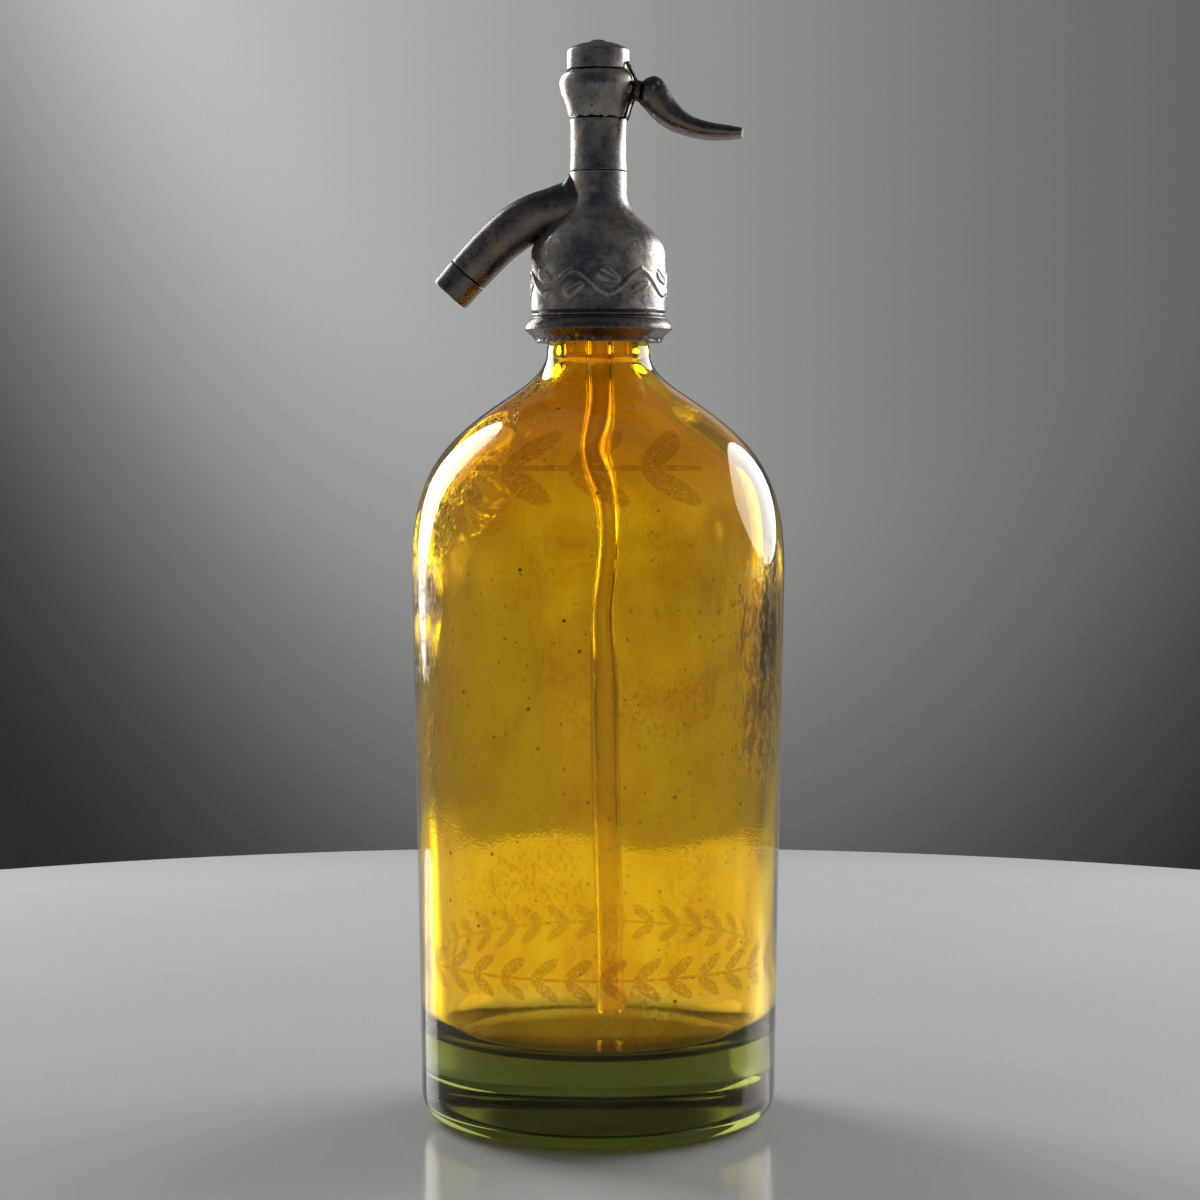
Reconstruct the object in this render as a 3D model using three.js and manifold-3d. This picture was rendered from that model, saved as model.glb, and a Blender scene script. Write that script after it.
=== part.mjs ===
// Soda siphon: a thick glass bottle with a cast metal head, a bent spout and a thumb lever.
// Millimetres, +Z up. The origin is the centre of the foot that the bottle stands on.
// The lever points along +X and the spout along -X.

import * as THREE from 'three';
import { mergeVertices } from 'three/addons/utils/BufferGeometryUtils.js';
import Module from 'manifold-3d';

const wasm = await Module();
wasm.setup();

// Clearances
const seatGap = 0.3; // between two faces that rest on each other
const slideGap = 0.3; // round a piece that slides, turns or screws in another
const overrun = 2; // how far a cutter runs past what it cuts

// Glass bottle
const bodyRadius = 51; // widest ring, just under the shoulder
const footRadius = 48.8; // body just above the heel
const bodyHeight = 150; // foot to widest ring
const shoulderHeight = 60; // widest ring to throat
const throatRadius = 14.1;
const throatTaper = 2.5; // height in which the throat narrows to the neck
const neckRadius = 13.2;
const neckHeight = 11; // throat to the underside of the bead
const beadRadius = 15;
const beadHeight = 7;
const beadRound = 1.4;
const mouthRadius = 9.5;
const glassWall = 5;
const shoulderShift = 3; // how far the inner shoulder lies under the outer one
const floorThickness = 23;
const floorRound = 9; // corner between the inner wall and the floor
const heelRound = 8.5;
const puntRadius = 35; // hollow under the foot
const puntHeight = 1.6;

// Split collar that holds the head on the neck
const collarFlangeHeight = 7.7;
const collarRadius = 20.1; // widest bead of the flange
const collarBandRadius = 18.3; // plain band under the skirt
const collarFootRadius = 17.3;
const collarThreadRadius = 16.4;
const collarThreadHeight = 5;
const collarGrooveDepth = 0.4;
const collarGrooveWidth = 0.5;
const collarGrooveDrop = 0.6; // from the top of the band down to the groove
const collarSplitAngle = THREE.MathUtils.degToRad(38); // from +X to the split

// Head casting
const skirtRadius = 18.6;
const skirtDepth = 10; // from its seat on the gasket down over the collar
const headNeckRadius = 7.8;
const headHeight = 28; // seat to the seam under the neck tube
const headStraight = 4.5; // part of the skirt above the seat that stays upright
const headFlare = 18; // height of the curve from skirt to neck
const spigotRadius = 6;
const spigotHeight = 6.2;
const chamberRadius = 5.2;
const webThickness = 1.5; // between the valve chamber and the packing bore
const seatBoreRadius = 7;
const packingBoreRadius = 4.4;
const skirtChamfer = 0.4;
const skirtLift = 0.4; // clearance over the collar, taken up when the gasket is squeezed

// Seals and valve
const gasketThickness = 2.3;
const washerThickness = 1;
const valveSeatThickness = 1.9;
const orificeRadius = 2.2;
const seatLipHeight = 0.5;
const seatLipWidth = 0.8;
const discRadius = 3.9;
const discThickness = 1.3;
const discCupRadius = 4.2;
const discCupHeight = 2.2;
const screwHeadRadius = 1.6;
const screwHeadHeight = 0.9;
const screwShankRadius = 0.9;
const screwSlotWidth = 0.45;
const screwDepth = 3.6; // length of screw inside the stem
const packingThickness = 2.8;
const packingNutHeight = 4.7;
const nutSlotWidth = 1.2;
const nutSlotDepth = 1.1;

// Dip tube
const tubeRadius = 3.9;
const tubeBoreRadius = 2.6;
const tubeFlangeRadius = 6.6;
const tubeFlangeThickness = 1.6;
const tubeFloorGap = 6; // from the floor of the bottle to the tube's open end
const tubeLean = THREE.MathUtils.degToRad(0.95);

// Stem
const stemRadius = 1.75;
const stemTipRadius = 1.25; // thin upper part that passes through the fork
const stemTipLength = 12.2;
const stemStepDrop = 2.5; // from the fork down to the step in the stem
const stemCollarRadius = 4.6;
const stemCollarThickness = 1.8;
const locknutRadius = 2.65;
const locknutHeight = 1.8;

// Spout
const portDrop = 10; // from the top of the head casting down to the port
const spoutRadius = 6.75; // at the chamber wall, narrowing evenly to the mouth
const spoutMouthRadius = 5.65;
const spoutBoreRadius = 3.8;
const spoutReach = 35.7; // from the chamber wall to the tip
const spoutDrop = 22.95;
const spoutTailRadius = 4.3; // end let into the head
const spoutTailBoreRadius = 3.2;
const spoutRootRadius = 7.6; // flare where it is soldered to the head
const spoutFlareRadius = 4.45; // thin end of the flare, inside the tube
const spoutRootLength = 5.6;
const spoutRootLift = 1.6; // middle of the flare above the port
const spoutTailLength = 8; // from the chamber wall into the spout
const nozzleLength = 7.6;
const nozzleSpigotRadius = 4.6;
const nozzleSpigotLength = 4;

// Neck tube and lever housing
const neckTubeRadius = 7.75;
const neckTubeWaist = 7.6;
const neckTubeHeight = 13.9;
const neckTubeCounterbore = 6.9; // depth of the upper recess
const neckTubeWeb = 0.9;
const neckTubeWaistShare = 0.2; // part of the height, at each end, that tapers to the waist
const housingSpigotRadius = 6.2;
const housingRimRadius = 8;
const housingRadius = 10.6;
const housingTopRadius = 8.7;
const housingHeight = 12.8;
const housingBoreRadius = 7.2;
const housingFloor = 3.2; // thickness of the housing's floor above its rim
const stemPassRadius = 4.6;

// Cap
const capRadius = 8.6;
const capHeight = 5.45; // upright side
const capDome = 2;
const capBossRadius = 2.7;
const capBossHeight = 0.8;
const capCavityHeight = 5.15; // above the cap's lower edge
const capCavityRadius = 5.3;
const capSpigotRadius = 6.9;
const capSpigotLength = 2.95;
const capEdgeRound = 0.5;
const capFlat = 7.8; // distance from the axis to the flat that takes the wire
const capFlatHeight = 2.2;

// Lever
const pivotHeight = 7.65; // above the housing's rim
const pivotReach = 8.2; // from the axis of the head to the pivot
const trunnionRadius = 1.5;
const trunnionSpan = 11.2; // from end to end
const forkGap = 3.2; // between the two fork arms
const shankWidth = 6;
const leverLength = 31.2; // pivot to tip
const leverDrop = 12.2; // pivot to the lowest outline of the handle
const leverHumpHeight = 3.7; // pivot to the top of the hump
const leverWidth = 12.4;
const slotHeight = 7.4; // opening in the housing for the lever
const slotTop = 3.4; // above the pivot

// Retaining wire and return spring
const wireRadius = 0.42;
const wireSpread = 7.6; // between the two legs
const wireBend = 0.8; // size of its bends at the cap
const springWireRadius = 0.5;
const springRadius = 3.85; // to the centre of its wire
const springTurns = 3.5;

// Sides of the round pieces, and steps along the curved ones
const bottleSides = 40;
const headSides = 32;
const pieceSides = 20;
const smallSides = 16;
const wireSides = 6;
const curveSteps = 4;
const spoutSteps = 12;
const nozzleSteps = 3;
const wireSteps = 48;
const springStepsPerTurn = 12;

// Heights of the seats, from the foot upwards
const throatZ = bodyHeight + shoulderHeight;
const beadZ = throatZ + neckHeight;
const lipZ = beadZ + beadHeight;
const gasketZ = lipZ + seatGap;
const headSeatZ = gasketZ + gasketThickness + seatGap;
const skirtZ = headSeatZ - skirtDepth;
const collarTopZ = skirtZ - skirtLift;
const collarZ = collarTopZ - collarFlangeHeight;
const flangeTopZ = headSeatZ + tubeFlangeThickness;
const washerZ = flangeTopZ + seatGap;
const valveSeatZ = washerZ + washerThickness + seatGap;
const valveSeatTopZ = valveSeatZ + valveSeatThickness;
const discZ = valveSeatTopZ + seatGap;
const stemZ = discZ + discThickness + seatGap;
const headTopZ = headSeatZ + headHeight;
const spigotTopZ = headTopZ + spigotHeight;
const neckTubeZ = headTopZ + seatGap;
const neckTubeTopZ = neckTubeZ + neckTubeHeight;
const housingZ = neckTubeTopZ + seatGap;
const housingTopZ = housingZ + housingHeight;
const capZ = housingTopZ + seatGap;
const cavityTopZ = capZ + capCavityHeight;
const pivotZ = housingZ + pivotHeight;
const stemCollarZ = pivotZ + trunnionRadius + seatGap;
const stemCollarTopZ = stemCollarZ + stemCollarThickness;
const packingNutZ = spigotTopZ - packingNutHeight;
const packingZ = packingNutZ - seatGap - packingThickness;
const webZ = packingZ - seatGap - webThickness;
const portZ = headTopZ - portDrop;
const floorZ = floorThickness;

// Solids

function welded(geometry) {
  const bare = geometry.clone();
  for (const name of ['normal', 'uv']) bare.deleteAttribute(name);
  const merged = mergeVertices(bare);
  const kept = [];
  const index = merged.index.array;
  for (let i = 0; i < index.length; i += 3) {
    const [a, b, c] = [index[i], index[i + 1], index[i + 2]];
    if (a !== b && b !== c && c !== a) kept.push(a, b, c);
  }
  merged.setIndex(kept);
  return merged;
}

function solidOf(geometry) {
  const mesh = welded(geometry);
  return new wasm.Manifold(new wasm.Mesh({
    numProp: 3,
    vertProperties: new Float32Array(mesh.attributes.position.array),
    triVerts: new Uint32Array(mesh.index.array),
  }));
}

function geometryOf(solid) {
  const mesh = solid.getMesh();
  const geometry = new THREE.BufferGeometry();
  geometry.setAttribute('position', new THREE.BufferAttribute(mesh.vertProperties, 3));
  geometry.setIndex(new THREE.BufferAttribute(mesh.triVerts, 1));
  return geometry;
}

// A closed outline of [radius, height] points, turned about +Z.
function turned(outline, sides = pieceSides) {
  const points = outline.map((p) => new THREE.Vector2(...p));
  if (THREE.ShapeUtils.area(points) < 0) points.reverse();
  if (points[0].x > 0) points.push(points[0].clone());
  return solidOf(new THREE.LatheGeometry(points, sides).rotateX(Math.PI / 2));
}

function ring(inner, outer, bottom, top, sides = pieceSides) {
  return turned([[inner, bottom], [outer, bottom], [outer, top], [inner, top]], sides);
}

function disc(radius, bottom, top, sides = pieceSides) {
  return turned([[0, bottom], [radius, bottom], [radius, top], [0, top]], sides);
}

function block(low, high) {
  const size = high.map((value, i) => value - low[i]);
  const centre = high.map((value, i) => (value + low[i]) / 2);
  return solidOf(new THREE.BoxGeometry(...size).translate(...centre));
}

// A round bar or cone along X, from one place to another.
function barX(from, to, height, radius, endRadius = radius) {
  const geometry = new THREE.CylinderGeometry(endRadius, radius, to - from, smallSides);
  geometry.rotateZ(-Math.PI / 2).translate((from + to) / 2, 0, height);
  return solidOf(geometry);
}

// A round bar along Y, centred on the middle plane.
function barY(x, height, radius, length) {
  const geometry = new THREE.CylinderGeometry(radius, radius, length, smallSides);
  return solidOf(geometry.translate(x, 0, height));
}

// A stretch of a longer curve, given by the lengths along it where it starts and ends.
class Stretch extends THREE.Curve {
  constructor(curve, from, to) {
    super();
    this.curve = curve;
    this.from = from / curve.getLength();
    this.to = to / curve.getLength();
  }

  getPoint(t) {
    return this.curve.getPointAt(THREE.MathUtils.lerp(this.from, this.to, t));
  }
}

function rodAlong(curve, radius, steps, sides) {
  const section = new THREE.Shape().absarc(0, 0, radius, 0, Math.PI * 2);
  const options = { steps, extrudePath: curve, curveSegments: sides / 2 };
  return solidOf(new THREE.ExtrudeGeometry(section, options));
}

// A solid skin over rings of points, one ring after another, closed flat at both ends.
function loft(rings) {
  const sides = rings[0].length;
  const last = (rings.length - 1) * sides;
  const faces = [];
  for (let i = 0; i < sides; i += 1) {
    const j = (i + 1) % sides;
    for (let near = 0; near < last; near += sides) {
      const far = near + sides;
      faces.push(near + i, far + i, far + j, near + i, far + j, near + j);
    }
    if (i > 0 && j > 0) faces.push(0, i, j, last, last + j, last + i);
  }
  const geometry = new THREE.BufferGeometry();
  geometry.setFromPoints(rings.flat());
  geometry.setIndex(faces);
  return solidOf(geometry);
}

// A ring of points round a middle point: up and across are its two half-axes.
function ringOf(middle, up, across) {
  return Array.from({ length: smallSides }, (_, i) => {
    const angle = (i / smallSides) * Math.PI * 2;
    return middle.clone()
      .addScaledVector(up, Math.cos(angle))
      .addScaledVector(across, Math.sin(angle));
  });
}

// A round bar along a curve in the middle plane, narrowing evenly from its start to its end.
function taperAlong(curve, startRadius, endRadius, steps) {
  const rings = Array.from({ length: steps + 1 }, (_, k) => {
    const t = k / steps;
    const radius = THREE.MathUtils.lerp(startRadius, endRadius, t);
    const side = new THREE.Vector3(0, radius, 0);
    const up = curve.getTangentAt(t).cross(side);
    return ringOf(curve.getPointAt(t), up, side);
  });
  return loft(rings);
}

function outlineOf(path) {
  return path.getPoints(curveSteps).map((p) => [p.x, p.y]);
}

// The radius that an outline has at a height, on its outer side.
function radiusAt(outline, height) {
  for (let i = 1; i < outline.length; i += 1) {
    const [[r0, z0], [r1, z1]] = [outline[i - 1], outline[i]];
    if (z0 <= height && height <= z1 && z1 > z0) {
      return THREE.MathUtils.mapLinear(height, z0, z1, r0, r1);
    }
  }
  return outline[outline.length - 1][0];
}

// Glass bottle

// Control points of the shoulder's two curves: [share of the radius step, share of the height].
const shoulderShares = [
  [[1, 0.404], [0.848, 0.571], [0.308, 0.79]],
  [[0.203, 0.833], [0, 0.906], [0, 1]],
];
const bodySwellShare = 0.41; // how far the body has swelled halfway up
const puntShare = 0.8; // part of the punt that lies nearly flat

function shoulder(path, wide, narrow, bottom) {
  const place = ([r, z]) => [narrow + (wide - narrow) * r, bottom + shoulderHeight * z];
  for (const curve of shoulderShares) path.bezierCurveTo(...curve.flatMap(place));
}

function bodySide(path, low, wide, bottom, top) {
  path.quadraticCurveTo(low + (wide - low) * bodySwellShare, (bottom + top) / 2, wide, top);
}

function bottleOutside() {
  const path = new THREE.Path();
  path.moveTo(0, puntHeight);
  path.quadraticCurveTo(puntRadius * puntShare, puntHeight, puntRadius, 0);
  path.lineTo(footRadius - heelRound, 0);
  path.quadraticCurveTo(footRadius, 0, footRadius, heelRound);
  bodySide(path, footRadius, bodyRadius, heelRound, bodyHeight);
  shoulder(path, bodyRadius, throatRadius, bodyHeight);
  path.lineTo(neckRadius, throatZ + throatTaper);
  path.lineTo(neckRadius, beadZ);
  path.lineTo(beadRadius - beadRound / 2, beadZ);
  path.lineTo(beadRadius, beadZ + beadRound / 2);
  path.lineTo(beadRadius, lipZ - beadRound);
  path.quadraticCurveTo(beadRadius, lipZ, beadRadius - beadRound, lipZ);
  return outlineOf(path);
}

function bottleInside() {
  const wide = bodyRadius - glassWall;
  const low = footRadius - glassWall;
  const path = new THREE.Path();
  path.moveTo(0, floorZ);
  path.lineTo(low - floorRound, floorZ);
  path.quadraticCurveTo(low, floorZ, low, floorZ + floorRound);
  bodySide(path, low, wide, floorZ + floorRound, bodyHeight - shoulderShift);
  shoulder(path, wide, mouthRadius, bodyHeight - shoulderShift);
  path.lineTo(mouthRadius, lipZ - beadRound / 2);
  path.lineTo(mouthRadius + beadRound / 2, lipZ);
  return outlineOf(path);
}

const glassBottle = turned([...bottleOutside(), ...bottleInside().reverse()], bottleSides);

// Split collar: a flange under the skirt, a ledge under the bead, and the thread for the head

// Outer outline of the flange: [share of the step from foot to bead, share of the height].
const collarShares = [
  [0, 0], [0, 0.08], [0.3, 0.21], [0.75, 0.36], [0.96, 0.43], [1, 0.5], [0.96, 0.6], [0.8, 0.7],
  [0.56, 0.8], [0.36, 0.83],
];

function collarRing() {
  const step = collarRadius - collarFootRadius;
  const side = ([r, z]) => [collarFootRadius + step * r, collarZ + collarFlangeHeight * z];
  const grooveZ = collarTopZ - collarGrooveDrop;
  return turned([
    ...collarShares.map(side),
    [collarBandRadius, grooveZ - collarGrooveWidth],
    [collarBandRadius - collarGrooveDepth, grooveZ - collarGrooveWidth / 2],
    [collarBandRadius, grooveZ],
    [collarBandRadius, collarTopZ],
    [collarThreadRadius, collarTopZ],
    [collarThreadRadius, collarTopZ + collarThreadHeight],
    [beadRadius + slideGap, collarTopZ + collarThreadHeight],
    [beadRadius + slideGap, beadZ - seatGap],
    [neckRadius + slideGap, beadZ - seatGap],
    [neckRadius + slideGap, collarZ],
  ], headSides);
}

function collarHalf(side) {
  const reach = collarRadius + overrun;
  const near = side * seatGap / 2;
  const far = side * reach;
  const [low, high] = side > 0 ? [near, far] : [far, near];
  const room = block([-reach, low, collarZ - overrun], [reach, high, headSeatZ]);
  const turnedRoom = room.rotate([0, 0, THREE.MathUtils.radToDeg(collarSplitAngle)]);
  return collarRing().intersect(turnedRoom);
}

// Head casting: skirt, shoulder and neck, bored for the tube, the valve and the packing

const headShares = [
  [[1, 0.24], [0.69, 0.406], [0.444, 0.544]],
  [[0.227, 0.667], [0, 0.8], [0, 1]],
];

function headOutside() {
  const path = new THREE.Path();
  const step = skirtRadius - headNeckRadius;
  const bottom = headSeatZ + headStraight;
  const place = ([r, z]) => [headNeckRadius + step * r, bottom + headFlare * z];
  path.moveTo(skirtRadius - skirtChamfer, skirtZ);
  path.lineTo(skirtRadius, skirtZ + skirtChamfer);
  path.lineTo(skirtRadius, bottom);
  for (const curve of headShares) path.bezierCurveTo(...curve.flatMap(place));
  path.lineTo(headNeckRadius, headTopZ);
  return outlineOf(path);
}

function headShape() {
  const skirtBore = collarThreadRadius + slideGap;
  return turned([
    ...headOutside(),
    [spigotRadius, headTopZ],
    [spigotRadius, spigotTopZ],
    [packingBoreRadius, spigotTopZ],
    [packingBoreRadius, webZ + webThickness],
    [stemRadius + slideGap, webZ + webThickness],
    [stemRadius + slideGap, webZ],
    [chamberRadius, webZ],
    [chamberRadius, discZ],
    [seatBoreRadius, discZ],
    [seatBoreRadius, headSeatZ],
    [skirtBore, headSeatZ],
    [skirtBore, skirtZ],
  ], headSides);
}

const portHole = barX(-skirtRadius, 0, portZ, spoutTailRadius + slideGap);
const headCasting = headShape().subtract(portHole);

// Spout, soldered to the head, with a nozzle tip on its end

// Control points of its centre line: [share of the reach, share of the drop].
const spoutShares = [[0, 0], [0.423, 0], [0.576, 0.273], [1, 1]];

const spoutLine = new THREE.CubicBezierCurve3(...spoutShares.map(([reach, drop]) => (
  new THREE.Vector3(-chamberRadius - spoutReach * reach, 0, portZ - spoutDrop * drop)
)));
const spoutLength = spoutLine.getLength();
const nozzleStart = spoutLength - nozzleLength;

// Its radius at a length along the centre line.
function spoutRadiusAt(length) {
  return THREE.MathUtils.mapLinear(length, 0, spoutLength, spoutRadius, spoutMouthRadius);
}

function spoutSolid() {
  const body = new Stretch(spoutLine, 0, nozzleStart);
  const spigot = new Stretch(spoutLine, nozzleStart - overrun, nozzleStart + nozzleSpigotLength);
  const bore = new Stretch(spoutLine, headNeckRadius - chamberRadius, spoutLength);
  const rootX = -headNeckRadius - spoutRootLength / 2;
  const tailX = -chamberRadius - spoutTailLength;
  const outside = headOutside().map(([r, z]) => [r + seatGap, z]);
  const head = turned([
    [0, skirtZ],
    ...outside,
    [headNeckRadius + seatGap, headTopZ + overrun],
    [0, headTopZ + overrun],
  ], headSides);
  const flare = barX(
    rootX, rootX + spoutRootLength, portZ + spoutRootLift, spoutFlareRadius, spoutRootRadius,
  );
  return taperAlong(body, spoutRadius, spoutRadiusAt(nozzleStart), spoutSteps)
    .add(flare)
    .subtract(head)
    .add(barX(tailX, -chamberRadius - seatGap, portZ, spoutTailRadius))
    .add(rodAlong(spigot, nozzleSpigotRadius, nozzleSteps, smallSides))
    .subtract(rodAlong(bore, spoutBoreRadius, spoutSteps, smallSides))
    .subtract(barX(tailX, 0, portZ, spoutTailBoreRadius));
}

function nozzleSolid() {
  const outer = new Stretch(spoutLine, nozzleStart + seatGap, spoutLength);
  const recess = new Stretch(spoutLine, nozzleStart, nozzleStart + nozzleSpigotLength + seatGap);
  const tip = spoutLine.getPointAt(1);
  const past = tip.clone().addScaledVector(spoutLine.getTangentAt(1), overrun);
  return taperAlong(outer, spoutRadiusAt(nozzleStart), spoutMouthRadius, nozzleSteps)
    .subtract(rodAlong(recess, nozzleSpigotRadius + slideGap, nozzleSteps, smallSides))
    .subtract(rodAlong(new Stretch(spoutLine, nozzleStart, spoutLength), spoutBoreRadius,
      nozzleSteps, smallSides))
    .subtract(rodAlong(new THREE.LineCurve3(tip, past), spoutBoreRadius, 1, smallSides));
}

// Neck tube and lever housing

function neckTubeSolid() {
  const recessZ = neckTubeTopZ - neckTubeCounterbore;
  return turned([
    [neckTubeRadius, neckTubeZ],
    [neckTubeWaist, neckTubeZ + neckTubeHeight * neckTubeWaistShare],
    [neckTubeWaist, neckTubeTopZ - neckTubeHeight * neckTubeWaistShare],
    [neckTubeRadius, neckTubeTopZ],
    [housingSpigotRadius + slideGap, neckTubeTopZ],
    [housingSpigotRadius + slideGap, recessZ],
    [stemPassRadius, recessZ],
    [stemPassRadius, recessZ - neckTubeWeb],
    [spigotRadius + slideGap, recessZ - neckTubeWeb],
    [spigotRadius + slideGap, neckTubeZ],
  ], headSides);
}

// Outline of the housing: [share of the bulge, share of the height].
const housingFlareShares = [[0.08, 0.04], [0.52, 0.36]];
const housingBellyShares = [[1.115, 0.66], [1.23, 0.88]];

function housingOutside() {
  const bulge = housingRadius - housingRimRadius;
  const place = ([r, z]) => [housingRimRadius + bulge * r, housingZ + housingHeight * z];
  const path = new THREE.Path();
  path.moveTo(housingRimRadius, housingZ);
  for (const share of housingFlareShares) path.lineTo(...place(share));
  path.bezierCurveTo(...housingBellyShares.flatMap(place), housingTopRadius, housingTopZ);
  return outlineOf(path);
}

function housingSolid() {
  const spigotZ = neckTubeTopZ - neckTubeCounterbore + seatGap;
  const slotTopZ = pivotZ + slotTop;
  const slotSide = shankWidth / 2 + slideGap;
  const notchSide = trunnionSpan / 2 + slideGap;
  const notchRadius = trunnionRadius + slideGap;
  const reach = housingRadius + overrun;
  const slot = block([0, -slotSide, slotTopZ - slotHeight], [reach, slotSide, slotTopZ]);
  const notch = block(
    [pivotReach, -notchSide, pivotZ - notchRadius], [reach, notchSide, pivotZ + notchRadius],
  );
  return turned([
    ...housingOutside(),
    [housingBoreRadius, housingTopZ],
    [housingBoreRadius, housingZ + housingFloor],
    [stemPassRadius, housingZ + housingFloor],
    [stemPassRadius, spigotZ],
    [housingSpigotRadius, spigotZ],
    [housingSpigotRadius, housingZ],
  ], headSides)
    .subtract(slot)
    .subtract(notch)
    .subtract(barY(pivotReach, pivotZ, notchRadius, notchSide * 2));
}

// Cap that closes the housing and carries the spring

const capDomeShares = [0.62, 0.9]; // control point of the dome: share of the radius, of the rise
const capBossShare = 0.7; // part of the boss that lies nearly flat

function capSolid() {
  const path = new THREE.Path();
  const sideTopZ = capZ + capHeight;
  const capTopZ = sideTopZ + capDome + capBossHeight;
  path.moveTo(capRadius - capEdgeRound / 2, capZ);
  path.lineTo(capRadius, capZ + capEdgeRound / 2);
  path.lineTo(capRadius, sideTopZ - capEdgeRound);
  path.quadraticCurveTo(capRadius, sideTopZ, capRadius - capEdgeRound, sideTopZ + capEdgeRound / 2);
  path.quadraticCurveTo(
    capRadius * capDomeShares[0], sideTopZ + capDome * capDomeShares[1],
    capBossRadius, sideTopZ + capDome,
  );
  path.quadraticCurveTo(capBossRadius * capBossShare, capTopZ, 0, capTopZ);
  const flatRoom = block(
    [capFlat, -capRadius, capZ - overrun], [capRadius + overrun, capRadius, capZ + capFlatHeight],
  );
  return turned([
    ...outlineOf(path),
    [0, cavityTopZ],
    [capCavityRadius, cavityTopZ],
    [capCavityRadius, capZ - capSpigotLength],
    [capSpigotRadius, capZ - capSpigotLength],
    [capSpigotRadius, capZ],
  ], headSides).subtract(flatRoom);
}

// Retaining wire: a hairpin over the flat of the cap, down both sides of the lever

// Heights along each leg, as shares of the housing's height.
const wireLegShares = [-0.04, 0.05, 0.25, 0.45, 0.62, 0.78, 0.9];

function wireSolid() {
  const half = wireSpread / 2;
  const outline = housingOutside();
  const stand = wireRadius + seatGap;
  const leg = wireLegShares.map((share) => {
    const height = housingZ + housingHeight * share;
    const radius = share < 0 ? neckTubeRadius : radiusAt(outline, height);
    return [Math.sqrt((radius + stand) ** 2 - half ** 2), half, height];
  });
  const flatX = capFlat + stand;
  const bendZ = capZ + capFlatHeight - stand;
  const top = [
    [flatX, half, bendZ - wireBend],
    [flatX, half - wireBend, bendZ],
    [flatX, 0, bendZ],
  ];
  const near = [...leg, ...top];
  const far = [...near].reverse().slice(1).map(([x, y, z]) => [x, -y, z]);
  const line = new THREE.CatmullRomCurve3([...near, ...far].map((p) => new THREE.Vector3(...p)));
  return rodAlong(line, wireRadius, wireSteps, wireSides);
}

// Seals, valve and stem

const gasket = ring(
  tubeRadius + slideGap, collarThreadRadius, gasketZ, gasketZ + gasketThickness, headSides,
);
const washer = ring(
  tubeBoreRadius, seatBoreRadius - slideGap, washerZ, washerZ + washerThickness,
);

const valveSeat = turned([
  [orificeRadius, valveSeatZ],
  [seatBoreRadius - slideGap, valveSeatZ],
  [seatBoreRadius - slideGap, valveSeatTopZ - seatLipHeight],
  [orificeRadius + seatLipWidth + seatLipHeight, valveSeatTopZ - seatLipHeight],
  [orificeRadius + seatLipWidth, valveSeatTopZ],
  [orificeRadius, valveSeatTopZ],
]);

const valveDisc = ring(screwShankRadius + slideGap, discRadius, discZ, discZ + discThickness);

const screwHeadZ = discZ - seatGap - screwHeadHeight;
const screwTopZ = stemZ + screwDepth;
const valveScrew = turned([
  [0, screwHeadZ],
  [screwHeadRadius, screwHeadZ],
  [screwHeadRadius, screwHeadZ + screwHeadHeight],
  [screwShankRadius, screwHeadZ + screwHeadHeight],
  [screwShankRadius, screwTopZ],
  [0, screwTopZ],
], smallSides).subtract(block(
  [-screwHeadRadius, -screwSlotWidth / 2, screwHeadZ - overrun],
  [screwHeadRadius, screwSlotWidth / 2, screwHeadZ + screwHeadHeight / 2],
));

const stemStepZ = pivotZ - trunnionRadius - stemStepDrop;
const stemTopZ = stemStepZ + stemTipLength;
const valveStem = turned([
  [0, stemZ + screwDepth + seatGap],
  [screwShankRadius + slideGap, stemZ + screwDepth + seatGap],
  [screwShankRadius + slideGap, stemZ],
  [discCupRadius, stemZ],
  [discCupRadius, stemZ + discCupHeight],
  [stemRadius, stemZ + discCupHeight + stemRadius],
  [stemRadius, stemStepZ],
  [stemTipRadius, stemStepZ],
  [stemTipRadius, stemTopZ],
  [0, stemTopZ],
], smallSides);

const packing = ring(
  stemRadius + slideGap, packingBoreRadius - slideGap, packingZ, packingZ + packingThickness,
);
const packingNut = ring(
  stemRadius + slideGap, packingBoreRadius - slideGap, packingNutZ, spigotTopZ,
).subtract(block(
  [-packingBoreRadius, -nutSlotWidth / 2, spigotTopZ - nutSlotDepth],
  [packingBoreRadius, nutSlotWidth / 2, spigotTopZ + overrun],
));

const stemCollar = ring(
  stemTipRadius + slideGap, stemCollarRadius, stemCollarZ, stemCollarTopZ,
);
const locknutZ = stemCollarTopZ + seatGap;
const hexSides = 6;
const locknut = ring(stemTipRadius, locknutRadius, locknutZ, locknutZ + locknutHeight, hexSides)
  .subtract(disc(stemTipRadius + slideGap, locknutZ - overrun, locknutZ + locknutHeight + overrun));

// Dip tube: open at both ends, flared at the top where the washers clamp it

function dipTubeSolid() {
  const bottomZ = floorZ + tubeFloorGap;
  const tube = turned([
    [tubeBoreRadius, bottomZ],
    [tubeRadius, bottomZ],
    [tubeRadius, headSeatZ - seatGap],
    [tubeRadius + slideGap, headSeatZ],
    [tubeFlangeRadius, headSeatZ],
    [tubeFlangeRadius, flangeTopZ],
    [tubeBoreRadius, flangeTopZ],
  ], smallSides);
  const lean = THREE.MathUtils.radToDeg(-tubeLean);
  return tube.translate([0, 0, -headSeatZ]).rotate([0, lean, 0]).translate([0, 0, headSeatZ]);
}

// Return spring, from the stem collar up to the roof of the cap

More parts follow.
